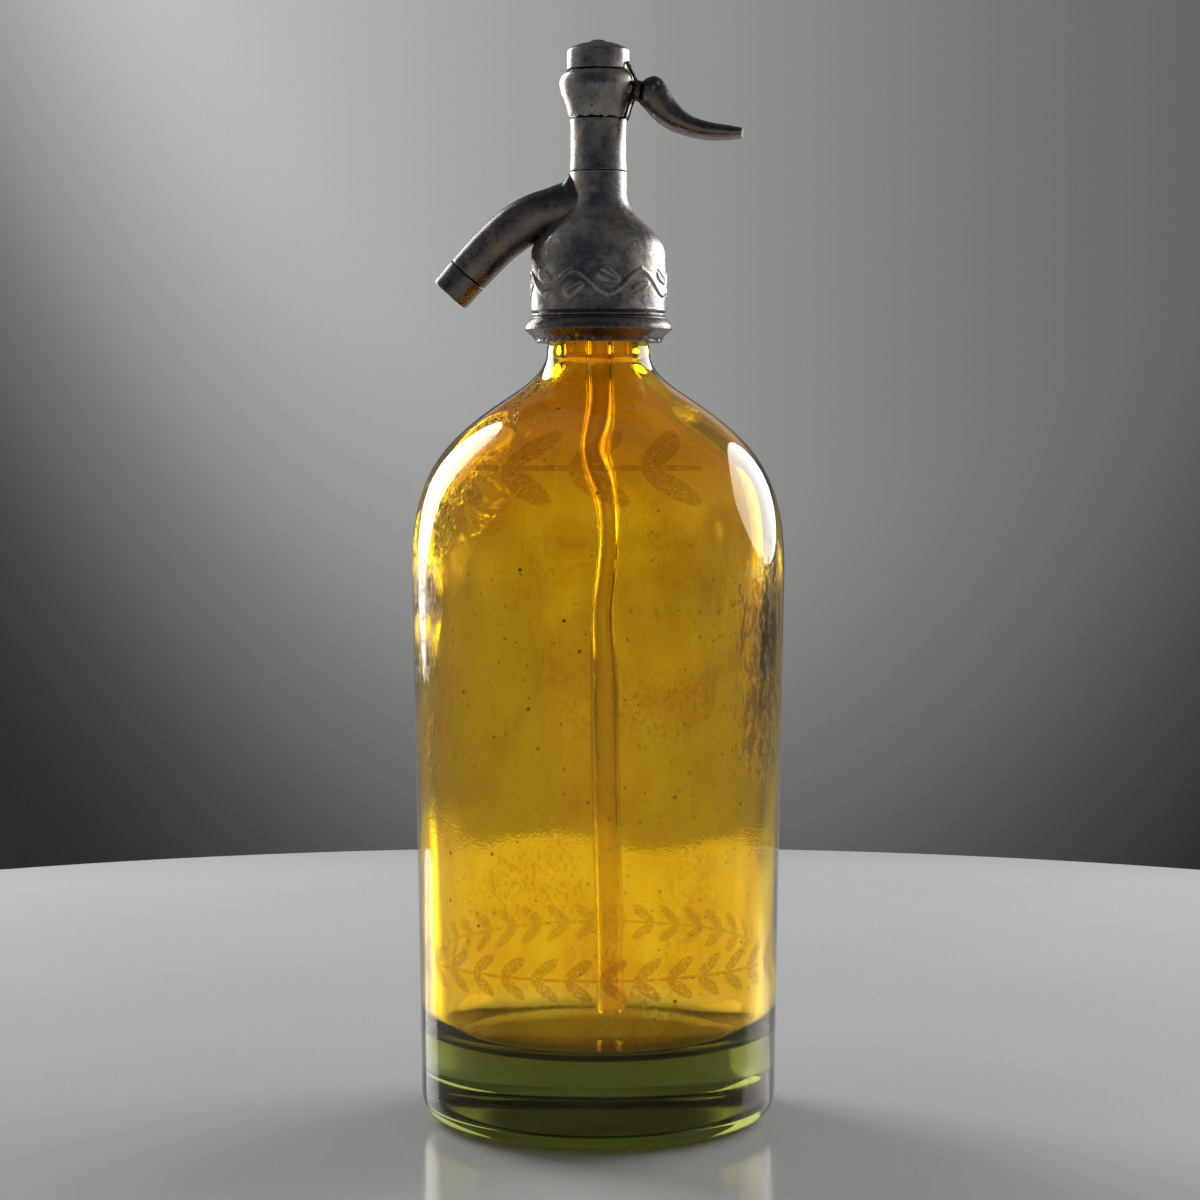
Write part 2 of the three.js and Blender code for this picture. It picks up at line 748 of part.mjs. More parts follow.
function springSolid() {
  const low = stemCollarTopZ + seatGap + springWireRadius;
  const high = cavityTopZ - seatGap - springWireRadius;
  class Helix extends THREE.Curve {
    getPoint(t) {
      const angle = t * springTurns * Math.PI * 2;
      return new THREE.Vector3(
        springRadius * Math.cos(angle), springRadius * Math.sin(angle), low + (high - low) * t,
      );
    }
  }
  return rodAlong(new Helix(), springWireRadius, springTurns * springStepsPerTurn, wireSides);
}

// Lever: a fork round the stem, trunnions at the pivot, and a humped handle

// Cross-sections of the handle from shank to tip. Each is the top point, the bottom point and
// the half-width: [share of the length, share of the height], the same, share of the width.
// Heights above the pivot are shares of the hump, and heights below it are shares of the drop.
const leverSections = [
  { top: [0, 0.4], bottom: [0, -0.12], widthShare: 0.47 },
  { top: [0.05, 0.74], bottom: [0.02, -0.18], widthShare: 0.47 },
  { top: [0.13, 0.6], bottom: [0.1, -0.28], widthShare: 0.47 },
  { top: [0.145, 0.58], bottom: [0.112, -0.31], widthShare: 0.5 },
  { top: [0.176, 0.85], bottom: [0.13, -0.38], widthShare: 0.68 },
  { top: [0.22, 1], bottom: [0.155, -0.47], widthShare: 0.83 },
  { top: [0.265, 0.9], bottom: [0.19, -0.57], widthShare: 0.92 },
  { top: [0.307, 0.62], bottom: [0.225, -0.65], widthShare: 0.98 },
  { top: [0.35, 0.08], bottom: [0.265, -0.74], widthShare: 1 },
  { top: [0.395, -0.18], bottom: [0.32, -0.83], widthShare: 1 },
  { top: [0.437, -0.32], bottom: [0.38, -0.92], widthShare: 0.98 },
  { top: [0.498, -0.48], bottom: [0.455, -0.99], widthShare: 0.95 },
  { top: [0.585, -0.62], bottom: [0.56, -1.07], widthShare: 0.91 },
  { top: [0.716, -0.73], bottom: [0.7, -1.125], widthShare: 0.86 },
  { top: [0.87, -0.8], bottom: [0.862, -1.125], widthShare: 0.79 },
  { top: [1, -0.86], bottom: [0.99, -1.09], widthShare: 0.7 },
];

function leverPoint([length, height]) {
  const rise = height > 0 ? height * leverHumpHeight : height * leverDrop;
  return new THREE.Vector3(pivotReach + length * leverLength, 0, pivotZ + rise);
}

function handleSolid() {
  return loft(leverSections.map(({ top, bottom, widthShare }) => {
    const [high, low] = [leverPoint(top), leverPoint(bottom)];
    const middle = high.clone().add(low).divideScalar(2);
    const side = new THREE.Vector3(0, widthShare * leverWidth / 2, 0);
    return ringOf(middle, high.sub(middle), side);
  }));
}

function leverSolid() {
  const side = shankWidth / 2;
  const thick = trunnionRadius;
  const plate = block([0, -side, pivotZ - thick], [pivotReach, side, pivotZ + thick]);
  const gap = block(
    [-thick - overrun, -forkGap / 2, pivotZ - thick - overrun],
    [pivotReach / 2, forkGap / 2, pivotZ + thick + overrun],
  );
  return plate
    .add(barY(0, pivotZ, thick, shankWidth))
    .subtract(gap)
    .add(barY(pivotReach, pivotZ, trunnionRadius, trunnionSpan))
    .add(handleSolid());
}

// Assembly

const finish = (color, roughness, metalness) => (
  new THREE.MeshStandardMaterial({ color, roughness, metalness })
);
const amberGlass = finish(0xc98208, 0.08, 0);
amberGlass.transparent = true;
amberGlass.opacity = 0.5;
const tubeGlass = finish(0xd9c894, 0.1, 0);
const pewter = finish(0x6d6862, 0.38, 1);
const darkPewter = finish(0x4f4b47, 0.45, 1);
const brass = finish(0xa58346, 0.35, 1);
const steel = finish(0x3a3836, 0.5, 1);
const springSteel = finish(0x8b8b88, 0.3, 1);
const rubber = finish(0x2b2622, 0.8, 0);
const leather = finish(0x6b4a2c, 0.85, 0);

const siphon = new THREE.Group();

function place(name, solid, material) {
  const mesh = new THREE.Mesh(geometryOf(solid), material);
  mesh.name = name;
  siphon.add(mesh);
}

place('glass_bottle', glassBottle, amberGlass);
place('dip_tube', dipTubeSolid(), tubeGlass);
place('collar_half_left', collarHalf(1), darkPewter);
place('collar_half_right', collarHalf(-1), darkPewter);
place('neck_gasket', gasket, rubber);
place('tube_washer', washer, rubber);
place('valve_seat', valveSeat, brass);
place('head_bell', headCasting, pewter);
place('spout_tube', spoutSolid(), pewter);
place('nozzle_tip', nozzleSolid(), pewter);
place('neck_tube', neckTubeSolid(), pewter);
place('lever_housing', housingSolid(), pewter);
place('top_cap', capSolid(), pewter);
place('retaining_wire', wireSolid(), steel);
place('stem_packing', packing, leather);
place('packing_nut', packingNut, brass);
place('valve_stem', valveStem, brass);
place('valve_disc', valveDisc, rubber);
place('valve_screw', valveScrew, brass);
place('stem_collar', stemCollar, brass);
place('stem_locknut', locknut, brass);
place('return_spring', springSolid(), springSteel);
place('lever', leverSolid(), pewter);

export default siphon;
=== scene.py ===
"""Soda siphon: an amber glass bottle with an aged pewter head, on a pale round table."""

import math

import bmesh
import bpy
from mathutils import Euler, Matrix, Vector, noise


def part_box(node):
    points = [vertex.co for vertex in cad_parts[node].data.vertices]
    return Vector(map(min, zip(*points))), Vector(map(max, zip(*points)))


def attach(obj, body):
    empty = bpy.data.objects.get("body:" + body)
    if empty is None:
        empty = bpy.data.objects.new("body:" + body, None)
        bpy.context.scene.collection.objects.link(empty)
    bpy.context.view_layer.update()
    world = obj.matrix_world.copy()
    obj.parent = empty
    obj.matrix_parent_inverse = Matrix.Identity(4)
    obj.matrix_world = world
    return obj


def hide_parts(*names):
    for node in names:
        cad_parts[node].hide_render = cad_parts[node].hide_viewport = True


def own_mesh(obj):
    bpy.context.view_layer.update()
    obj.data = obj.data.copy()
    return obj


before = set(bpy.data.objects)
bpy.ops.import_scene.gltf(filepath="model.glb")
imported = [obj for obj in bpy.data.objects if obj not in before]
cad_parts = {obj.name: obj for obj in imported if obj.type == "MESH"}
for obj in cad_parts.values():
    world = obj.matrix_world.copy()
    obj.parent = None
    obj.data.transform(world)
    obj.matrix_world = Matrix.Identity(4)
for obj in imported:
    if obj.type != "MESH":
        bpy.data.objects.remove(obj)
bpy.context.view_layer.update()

# Sizes in millimetres, in the frame of the CAD. Names in _Z are heights above the table.
MM = 0.001
FOOT_RADIUS, FOOT_HOLLOW, FOOT_BEND_Z = 40.3, 1.6, 8.5
LOW_RADIUS, BODY_RADIUS, THROAT_RADIUS, BEAD_RADIUS = 48.8, 51.0, 14.1, 15.0
INNER_LOW, INNER_BODY, INNER_THROAT = 43.8, 46.0, 9.5
FLOOR_Z, BODY_Z, THROAT_Z, BEAD_Z, LIP_Z = 23.0, 150.0, 210.0, 221.0, 228.0
COLLAR_Z, COLLAR_TOP_Z, SKIRT_Z, SEAT_Z, HEAD_TOP_Z = 212.8, 220.5, 220.9, 230.9, 258.9
NECK_TUBE_Z, NECK_TUBE_TOP_Z, HOUSING_Z, HOUSING_TOP_Z = 259.2, 273.1, 273.4, 286.2
CAP_Z, CAP_SIDE_Z, CAP_TOP_Z = 286.5, 291.95, 294.75
SKIRT_RADIUS, NECK_RADIUS, CAP_RADIUS = 18.6, 7.8, 8.6
PIVOT = Vector((8.2, 0, 281.05))
LEVER_LENGTH, LEVER_RISE, LEVER_DROP, LEVER_HALF_WIDTH = 31.2, 3.7, 12.2, 6.2
SPLIT_ANGLE = math.radians(38)
PORT = Vector((-5.2, 0, 248.9))
SPOUT_REACH, SPOUT_DROP = 35.7, 22.95
SPOUT_RADIUS, MOUTH_RADIUS, SPOUT_BORE, NOZZLE_LENGTH = 6.75, 5.65, 3.8, 7.6


# Shader maths


def feed(socket, value):
    """Links a term to a socket, or sets the socket's own value."""
    if isinstance(value, Term):
        value.tree.links.new(value.socket, socket)
    elif isinstance(value, tuple) and len(value) == 3 and socket.type == "RGBA":
        socket.default_value = (*value, 1)
    else:
        socket.default_value = value


def arithmetic(operation, flipped=False):
    """An operator on two terms or a term and a number, flipped for its reflected form."""

    def apply(self, other):
        pair = (other, self) if flipped else (self, other)
        return self.node("ShaderNodeMath", {"operation": operation}, dict(enumerate(pair)))

    return apply


def single(operation):
    """An operator on one term."""
    return lambda self: self.node("ShaderNodeMath", {"operation": operation}, {0: self})


class Term:
    """A socket in a shader. Python's operators on it add Math nodes."""

    def __init__(self, socket):
        self.socket = socket
        self.tree = socket.id_data

    def node(self, kind, settings=None, sockets=None, output=0):
        """Another node of the same shader. Its settings are set before its sockets."""
        made = self.tree.nodes.new(kind)
        for name, value in (settings or {}).items():
            setattr(made, name, value)
        for name, value in (sockets or {}).items():
            feed(made.inputs[name], value)
        return Term(made.outputs[output])

    __add__ = arithmetic("ADD")
    __radd__ = arithmetic("ADD", True)
    __sub__ = arithmetic("SUBTRACT")
    __rsub__ = arithmetic("SUBTRACT", True)
    __mul__ = arithmetic("MULTIPLY")
    __rmul__ = arithmetic("MULTIPLY", True)
    __truediv__ = arithmetic("DIVIDE")
    __rtruediv__ = arithmetic("DIVIDE", True)
    __pow__ = arithmetic("POWER")
    larger = arithmetic("MAXIMUM")
    turn_of = arithmetic("ARCTAN2")
    size, fraction = single("ABSOLUTE"), single("FRACT")

    def ramp(self, low, high):
        """Rises smoothly from 0 at low to 1 at high, or falls where low is the larger."""
        return self.node(
            "ShaderNodeMapRange",
            {"interpolation_type": "SMOOTHSTEP"},
            {"Value": self, "From Min": low, "From Max": high},
        )

    def between(self, start, end, kind="MIX"):
        """The colour from start to end that this term picks."""
        settings = {"data_type": "RGBA", "blend_type": kind}
        return self.node("ShaderNodeMix", settings, {0: self, 6: start, 7: end}, 2)

    def moved(self, offset=(0, 0, 0), scale=(1, 1, 1)):
        """These coordinates, shifted and stretched."""
        sockets = {"Vector": self, "Location": offset, "Scale": scale}
        return self.node("ShaderNodeMapping", {}, sockets)

    def cloud(self, scale, detail=4.0, coarseness=0.5):
        """Cloudy noise at these coordinates, from 0 to 1."""
        sockets = {"Vector": self, "Scale": scale, "Detail": detail, "Roughness": coarseness}
        return self.node("ShaderNodeTexNoise", {}, sockets)

    def dots(self, scale, low, high, kept):
        """Round spots at these coordinates, solid up to low from their middles and gone at high.
        Kept is the share of them that shows."""
        settings = {"feature": "F1"}
        sockets = {"Vector": self, "Scale": scale}
        near = self.node("ShaderNodeTexVoronoi", settings, sockets)
        pick = self.node("ShaderNodeTexVoronoi", settings, sockets, 1)
        pick = pick.node("ShaderNodeSeparateColor", {}, {0: pick})
        return near.ramp(high, low) * pick.ramp(kept, kept - 0.02)

    def relief(self, depth, strength=1.0):
        """The normal of a surface with this height, where depth is in millimetres."""
        sockets = {"Height": self, "Distance": depth * MM, "Strength": strength}
        return self.node("ShaderNodeBump", {}, sockets)


def tone(red, green, blue):
    """A colour as a painter names it, in shares of full light on a screen."""
    shares = (red, green, blue)
    return tuple(c / 12.92 if c <= 0.04045 else ((c + 0.055) / 1.055) ** 2.4 for c in shares)


def finish(name, paint, absorbed=None, **constants):
    """A material. Paint gets the surface's coordinates and returns what feeds the shader.
    Absorbed is the colour of a glass itself and how strong it is for each metre."""
    made = bpy.data.materials.new(name)
    made.use_nodes = True
    tree = made.node_tree
    shader = tree.nodes["Principled BSDF"]
    place = Term(tree.nodes.new("ShaderNodeTexCoord").outputs["Object"])
    for socket, value in {**constants, **paint(place)}.items():
        feed(shader.inputs[socket.replace("_", " ")], value)
    if absorbed:
        depth = tree.nodes.new("ShaderNodeVolumeAbsorption")
        colour, depth.inputs["Density"].default_value = absorbed
        feed(depth.inputs["Color"], colour)
        tree.links.new(depth.outputs[0], tree.nodes["Material Output"].inputs["Volume"])
    return made


def worn_edges(place, low=0.52, high=0.6):
    """Rises on the edges that handling has polished."""
    shape = place.tree.nodes.new("ShaderNodeNewGeometry")
    return Term(shape.outputs["Pointiness"]).ramp(low, high)


def pewter(name, seed, dark, bare, cover=0.5, warm_reflection_and_wear=0.5, sheen_and_shade=0.0):
    """Old cast pewter: grey tarnish, barer beige patches, black pits and fine scratches.
    Cover is the tarnish that is left. The share after it paints a reflection, partly wear: brown on
    surfaces that face down. The last share paints a beige sheen on those that face front or back,
    and shade on those that face up."""

    def paint(place):
        spot = place.moved((seed, seed * 0.37, seed * 0.71))
        broad = spot.cloud(90, 3.0, 0.6)
        mottle = spot.cloud(420, 8.0, 0.78)
        grain = spot.cloud(2200, 3.0, 0.6)
        normal = Term(place.tree.nodes.new("ShaderNodeNewGeometry").outputs["Normal"])
        aside, up = (normal.node("ShaderNodeSeparateXYZ", {}, {0: normal}, i) for i in (1, 2))
        # Painted sheen: surfaces that face front or back get barer and more beige.
        painted_sheen = (aside * aside).ramp(0.35, 0.85) * up.ramp(0.5, -0.1) * sheen_and_shade
        # The bare patches are real wear with a little painted sheen mixed in.
        rubbed_and_sheen = mottle * 0.8 + broad * 0.35 + grain * 0.15 - 0.15 + painted_sheen * 0.1
        rubbed_and_sheen = rubbed_and_sheen.ramp(cover - 0.08, cover + 0.1)
        pits = spot.dots(620, 0.05, 0.28, 0.12).larger(spot.dots(1500, 0.05, 0.35, 0.16))
        scratches = spot.moved(scale=(1, 1, 0.12)).cloud(2600, 2.0, 0.5).ramp(0.62, 0.72)
        hollow = worn_edges(place, 0.49, 0.43)
        edge = worn_edges(place)
        colour = (rubbed_and_sheen * 0.8).between(dark, bare)
        colour = (broad.ramp(0.6, 0.4) * 0.35).between(colour, tone(0.36, 0.36, 0.37))
        # Painted reflection, partly wear: surfaces that face down turn brown.
        down_reflection_and_wear = up.ramp(-0.1, -0.75) * (0.3 + rubbed_and_sheen) * warm_reflection_and_wear
        colour = down_reflection_and_wear.between(colour, tone(0.5, 0.38, 0.32))
        # Painted shade: surfaces that face up turn darker.
        colour = (up.ramp(0.15, 0.6) * sheen_and_shade * 0.8).between(colour, tone(0.24, 0.24, 0.25))
        colour = (edge * 0.6).between(colour, tone(0.8, 0.77, 0.73))
        colour = (pits * 0.85).larger(hollow * 0.8).between(colour, tone(0.1, 0.095, 0.09))
        rough = 0.22 + rubbed_and_sheen * (0.08 + painted_sheen * 0.15) + grain * 0.1 + pits * 0.3 + hollow * 0.25
        height = mottle * 0.45 + grain * 0.16 - pits * 0.6 - scratches * 0.08
        return {"Base Color": colour, "Roughness": rough, "Normal": height.relief(0.1)}

    return finish(name, paint, Metallic=1.0)


# Heights in metres of the two etched bands of leaves on the glass
BAND_HEIGHT, SPRIG_HEIGHT = 0.046, 0.179


def laurel(turn, height, leaves, size):
    """A band of slanting leaves over and under a stem: 1 on the drawing, 0 beside it.
    Leaves is the number in a whole round, and size half the length of one, in metres."""
    along = ((turn * (leaves / math.tau)).fraction() - 0.5) * (size * 2.1)
    across = height.size() - size * 0.62
    far, wide = along * 0.82 + across * 0.57, across * 0.82 - along * 0.57
    leaf = ((far / size) ** 2 + (wide / (size * 0.36)) ** 2).ramp(1.1, 0.85)
    return leaf.larger(height.size().ramp(size * 0.12, size * 0.07))


def amber_paint(place):
    """Glass under an amber stain, which is left off the thick foot. It shows wear: specks, haze,
    scuffs, tide marks and a dull underside outside, film and damp beads inside, and etched leaves
    low on the body and on the front of the shoulder. Shade is painted into the stain high on the
    shoulder."""
    attribute = place.tree.nodes.new("ShaderNodeAttribute")
    attribute.attribute_name = "inner"
    inside = Term(attribute.outputs["Fac"])
    x, y, z = (place.node("ShaderNodeSeparateXYZ", {}, {0: place}, i) for i in range(3))
    stained = z.ramp(0.016, 0.03) * (1 - inside)
    specks = place.dots(260, 0.08, 0.2, 0.1).larger(place.dots(620, 0.08, 0.25, 0.07))
    haze = place.cloud(34, 3.0, 0.6)
    film = place.moved(scale=(1, 1, 0.35)).cloud(120, 5.0, 0.65)
    stain = (haze * 0.6 + film * 0.5).ramp(0.5, 0.72)
    scuffs = place.cloud(28, 1.0).ramp(0.56, 0.66)
    scuffs = scuffs * place.moved(scale=(1, 1, 0.6)).cloud(900, 4.0, 0.7).ramp(0.5, 0.62)
    streaks = place.moved(scale=(1, 1, 0.42)).cloud(380, 7.0, 0.8)
    drift = place.cloud(42, 3.0) - 0.5
    turn = y.turn_of(x)
    round_to, up_to = turn + drift * 0.7, z + drift * 0.05
    right = round_to.ramp(-0.95, -0.4) * round_to.ramp(0.35, -0.2)
    right = right * up_to.ramp(0.07, 0.12) * up_to.ramp(0.172, 0.145)
    left = round_to.ramp(-3.1, -2.75) * round_to.ramp(-2.2, -2.6)
    left = left * up_to.ramp(0.11, 0.135) * up_to.ramp(0.168, 0.145)
    tide = (streaks + right.larger(left) * 0.27).ramp(0.68, 0.76) * (1 - inside)
    bruise = round_to.ramp(-1.0, -0.8) * round_to.ramp(-0.4, -0.6)
    bruise = bruise * up_to.ramp(0.115, 0.14) * up_to.ramp(0.168, 0.15)
    bruise = bruise * film.ramp(0.35, 0.6) * (1 - inside)
    scratches = place.moved(scale=(1, 1, 0.07)).cloud(900, 2.0).ramp(0.7, 0.78)
    damp = turn.size().ramp(2.25, 2.6) * z.ramp(0.15, 0.166) * z.ramp(0.206, 0.2) * inside
    damp = damp * place.moved((3, 0, 0)).cloud(75, 2.0).ramp(0.4, 0.48)
    beads = place.dots(480, 0.1, 0.42, 0.6).larger(place.dots(900, 0.1, 0.45, 0.7) * 0.5) * damp
    foot = (x * x + y * y).ramp(0.0017, 0.0015) * z.ramp(0.004, 0.002)
    sprig = laurel(turn, z - SPRIG_HEIGHT, leaves=15, size=0.0078)
    sprig = sprig * turn.ramp(-2.48, -2.44) * turn.ramp(-0.8, -0.84)
    etched = laurel(turn, z - BAND_HEIGHT, leaves=34, size=0.0045).larger(sprig)
    etched = etched * place.cloud(1500, 2.0).ramp(0.3, 0.5) * (1 - inside)
    ripple = place.moved(scale=(1, 1, 0.6)).cloud(55, 0.5) * (0.3 + 0.6 * z.ramp(0.09, 0.13))
    orange_peel = place.cloud(1300, 1.0)
    colour = stained.between((1, 1, 1), (0.99, 0.63, 0.012))
    colour = (inside * 0.9).between(colour, tone(1, 0.92, 0.78))
    colour = (stain * 0.5).between(colour, (0.76, 0.5, 0.2), "MULTIPLY")
    colour = (haze.ramp(0.44, 0.3) * 0.4 * inside).between(colour, tone(0.85, 0.78, 0.45))
    warmth = (z.ramp(0.15, 0.2) * 0.45).larger(z.ramp(0.2, 0.209))
    colour = (warmth * inside).between(colour, tone(1, 0.74, 0.28))
    # Painted shade: a band high on the shoulder is tinted darker.
    shoulder_shade = z.ramp(0.165, 0.188) * z.ramp(0.209, 0.2)
    colour = (shoulder_shade * stained).between(colour, (0.8, 0.62, 0.4), "MULTIPLY")
    colour = (etched * 0.85).between(colour, (0.48, 0.36, 0.25), "MULTIPLY")
    colour = (bruise * 0.6).between(colour, (0.4, 0.15, 0.004))
    colour = (tide * 0.85).between(colour, (0.2, 0.07, 0.003))
    colour = (scuffs * stained * 0.5).between(colour, (0.3, 0.12, 0.006))
    colour = (specks * (0.5 + 0.5 * inside)).between(colour, tone(0.22, 0.14, 0.05))
    colour = foot.between(colour, tone(0.2, 0.2, 0.23))
    rough = 0.012 + inside * 0.03 * (1 - damp) + stain * 0.05 * (1 - damp)
    rough = rough + scratches * 0.1 + tide * 0.1
    rough = rough + (scuffs + etched) * 0.1 + foot * 0.3
    height = ripple + orange_peel * 0.02 * inside + beads * 1.1 - scratches * 0.02 - tide * 0.04
    normal = height.relief(0.35)
    return {"Base Color": colour, "Roughness": rough, "Metallic": foot * 0.7, "Normal": normal}


def tube_paint(place):
    """Clear drawn glass with a film of scale, thicker low down."""
    ripple = place.moved(scale=(1, 1, 0.3)).cloud(160, 3.0)
    z = place.node("ShaderNodeSeparateXYZ", {}, {0: place}, 2)
    film = place.cloud(220, 5.0, 0.6).ramp(0.5, 0.8).larger(z.ramp(0.125, 0.1) * 0.5)
    colour = (film * 0.5).between(tone(0.99, 0.97, 0.9), tone(0.9, 0.82, 0.66))
    return {"Base Color": colour, "Roughness": 0.03 + film * 0.2, "Normal": ripple.relief(0.15)}


def brass_paint(place):
    """Brass from the lathe, dulled in patches."""
    turning = place.moved(scale=(0.05, 0.05, 1)).cloud(5000, 1.0)
    dull = place.cloud(300, 5.0, 0.6).ramp(0.4, 0.7)
    colour = dull.between(tone(0.74, 0.6, 0.34), tone(0.5, 0.39, 0.22))
    return {"Base Color": colour, "Roughness": 0.28 + dull * 0.2, "Normal": turning.relief(0.03)}


def wire_paint(place):
    """Dark drawn wire with a little rust."""
    rust = place.cloud(700, 4.0, 0.65).ramp(0.45, 0.7)
    colour = rust.between(tone(0.16, 0.15, 0.15), tone(0.27, 0.19, 0.14))
    return {"Base Color": colour, "Roughness": 0.4 + rust * 0.3, "Normal": rust.relief(0.04)}


def spring_paint(place):
    """Bright spring wire with a haze on it."""
    haze = place.cloud(500, 3.0)
    colour = haze.between(tone(0.7, 0.7, 0.69), tone(0.52, 0.51, 0.5))
    return {"Base Color": colour, "Roughness": 0.22 + haze * 0.15, "Normal": haze.relief(0.02)}


def rubber_paint(place):
    """Old rubber with a bloom on it."""
    bloom = place.cloud(400, 5.0, 0.6)
    colour = bloom.between(tone(0.13, 0.11, 0.1), tone(0.24, 0.21, 0.19))
    return {"Base Color": colour, "Roughness": 0.65 + bloom * 0.2, "Normal": bloom.relief(0.06)}


def leather_paint(place):
    """Greased leather with open pores."""
    pores = place.dots(1400, 0.05, 0.4, 0.8)
    grain = place.cloud(500, 5.0, 0.6)
    colour = grain.between(tone(0.33, 0.21, 0.12), tone(0.5, 0.35, 0.21))
    return {"Base Color": colour, "Roughness": 0.6 + grain * 0.2, "Normal": (grain - pores).relief(0.08)}


def table_paint(place):
    """A pale, wiped table top. Seen through glass it glows with painted light, and a painted shadow
    takes the glow away close to the foot.
    """
    wipe = place.cloud(9, 4.0, 0.5)
    x, y = (place.node("ShaderNodeSeparateXYZ", {}, {0: place}, i) for i in (0, 1))
    # Painted shadow: the glow fades out close to the foot.
    clear = 0.04 + 0.96 * ((x * x + y * y) ** 0.5).ramp(0.042, 0.09)
    path = place.tree.nodes.new("ShaderNodeLightPath")
    seen = Term(path.outputs["Is Transmission Ray"])
    colour = wipe.between(tone(0.78, 0.785, 0.785), tone(0.81, 0.815, 0.815))
    glow = (seen * clear).between((0, 0, 0), (0.6, 0.6, 0.6))
    return {"Base Color": colour, "Roughness": 0.1 + wipe * 0.06, "Emission Color": glow}


OLD_GREEN = (0.45, 0.49, 0.1), 55.0
FAINT_STRAW = tone(0.97, 0.9, 0.6), 30.0
amber_glass = finish(
    "amber_glass",
    amber_paint,
    OLD_GREEN,
    IOR=1.5,
    Transmission_Weight=1.0,
    Specular_Tint=(1.0, 0.86, 0.5),
)
tube_glass = finish("tube_glass", tube_paint, FAINT_STRAW, IOR=1.5, Transmission_Weight=1.0)
GREY, BEIGE = tone(0.5, 0.5, 0.51), tone(0.7, 0.66, 0.6)
bell_pewter = pewter("bell_pewter", 0.11, GREY, BEIGE)
neck_pewter = pewter("neck_pewter", 0.53, GREY, BEIGE, cover=0.48)
spout_pewter = pewter(
    "spout_pewter",
    0.86,
    dark=tone(0.42, 0.42, 0.43),
    bare=tone(0.68, 0.61, 0.54),
    cover=0.53,
    warm_reflection_and_wear=0.6,
    sheen_and_shade=1.0,
)
lever_pewter = pewter(
    "lever_pewter",
    1.32,
    dark=tone(0.38, 0.37, 0.37),
    bare=tone(0.62, 0.55, 0.48),
    cover=0.55,
    warm_reflection_and_wear=0.5,
    sheen_and_shade=1.0,
)
collar_pewter = pewter(
    "collar_pewter",
    1.77,
    dark=tone(0.4, 0.4, 0.41),
    bare=tone(0.6, 0.52, 0.46),
    cover=0.54,
    warm_reflection_and_wear=0.9,
)
brass = finish("brass", brass_paint, Metallic=1.0)
wire_steel = finish("wire_steel", wire_paint, Metallic=1.0)
spring_steel = finish("spring_steel", spring_paint, Metallic=1.0)
rubber = finish("rubber", rubber_paint)
leather = finish("leather", leather_paint)
table_top = finish("table_top", table_paint, Emission_Strength=1.0, Specular_IOR_Level=0.12)


# Mesh tools. Points are in millimetres until a mesh is made.


SHARP_ANGLE, SAME_POINT = 38, 1e-4


def bezier(points, steps):
    """Points along a curve of any degree, without its first point."""
    curve = []
    for step in range(1, steps + 1):
        level = [Vector(p) for p in points]
        while len(level) > 1:
            level = [a.lerp(b, step / steps) for a, b in zip(level, level[1:])]
        curve.append(level[0])
    return curve


def through(points, steps):
    """Points along a smooth curve that passes through all of these."""
    points = [Vector(p) for p in points]
    padded = [points[0] * 2 - points[1], *points, points[-1] * 2 - points[-2]]
    curve = [points[0]]
    for a, b, c, d in zip(padded, padded[1:], padded[2:], padded[3:]):
        curve += bezier([b, b + (c - a) / 6, c - (d - b) / 6, c], steps)
    return curve


def eased(outline, size):
    """A closed outline whose sharp corners are rounded, apart from those on the axis."""
    nearly_straight, axis = 2.7, 1e-6
    outline = [Vector(p) for p in outline]
    made = []
    for i, here in enumerate(outline):
        back, on = outline[i - 1] - here, outline[(i + 1) % len(outline)] - here
        doubled = not back.length or not on.length
        if doubled or back.angle(on) > nearly_straight or here[0] < axis:
            made.append(here)
            continue
        start = here + back.normalized() * min(size, back.length * 0.4)
        end = here + on.normalized() * min(size, on.length * 0.4)
        made += [start, *bezier([start, here, end], 4)]
    return made


def refined(outline, longest, closed=True):
    """An outline whose long stretches are split."""
    made = []
    ends = outline[1:] + outline[:1] if closed else outline[1:]
    for a, b in zip(outline, ends):
        steps = max(1, math.ceil((b - a).length / longest))
        made += [a.lerp(b, i / steps) for i in range(steps)]
    return made if closed else [*made, outline[-1]]


def smooth(low, high, value):
    """Rises smoothly from 0 at low to 1 at high, or falls where low is the larger."""
    share = min(1.0, max(0.0, (value - low) / (high - low)))
    return share * share * (3 - 2 * share)


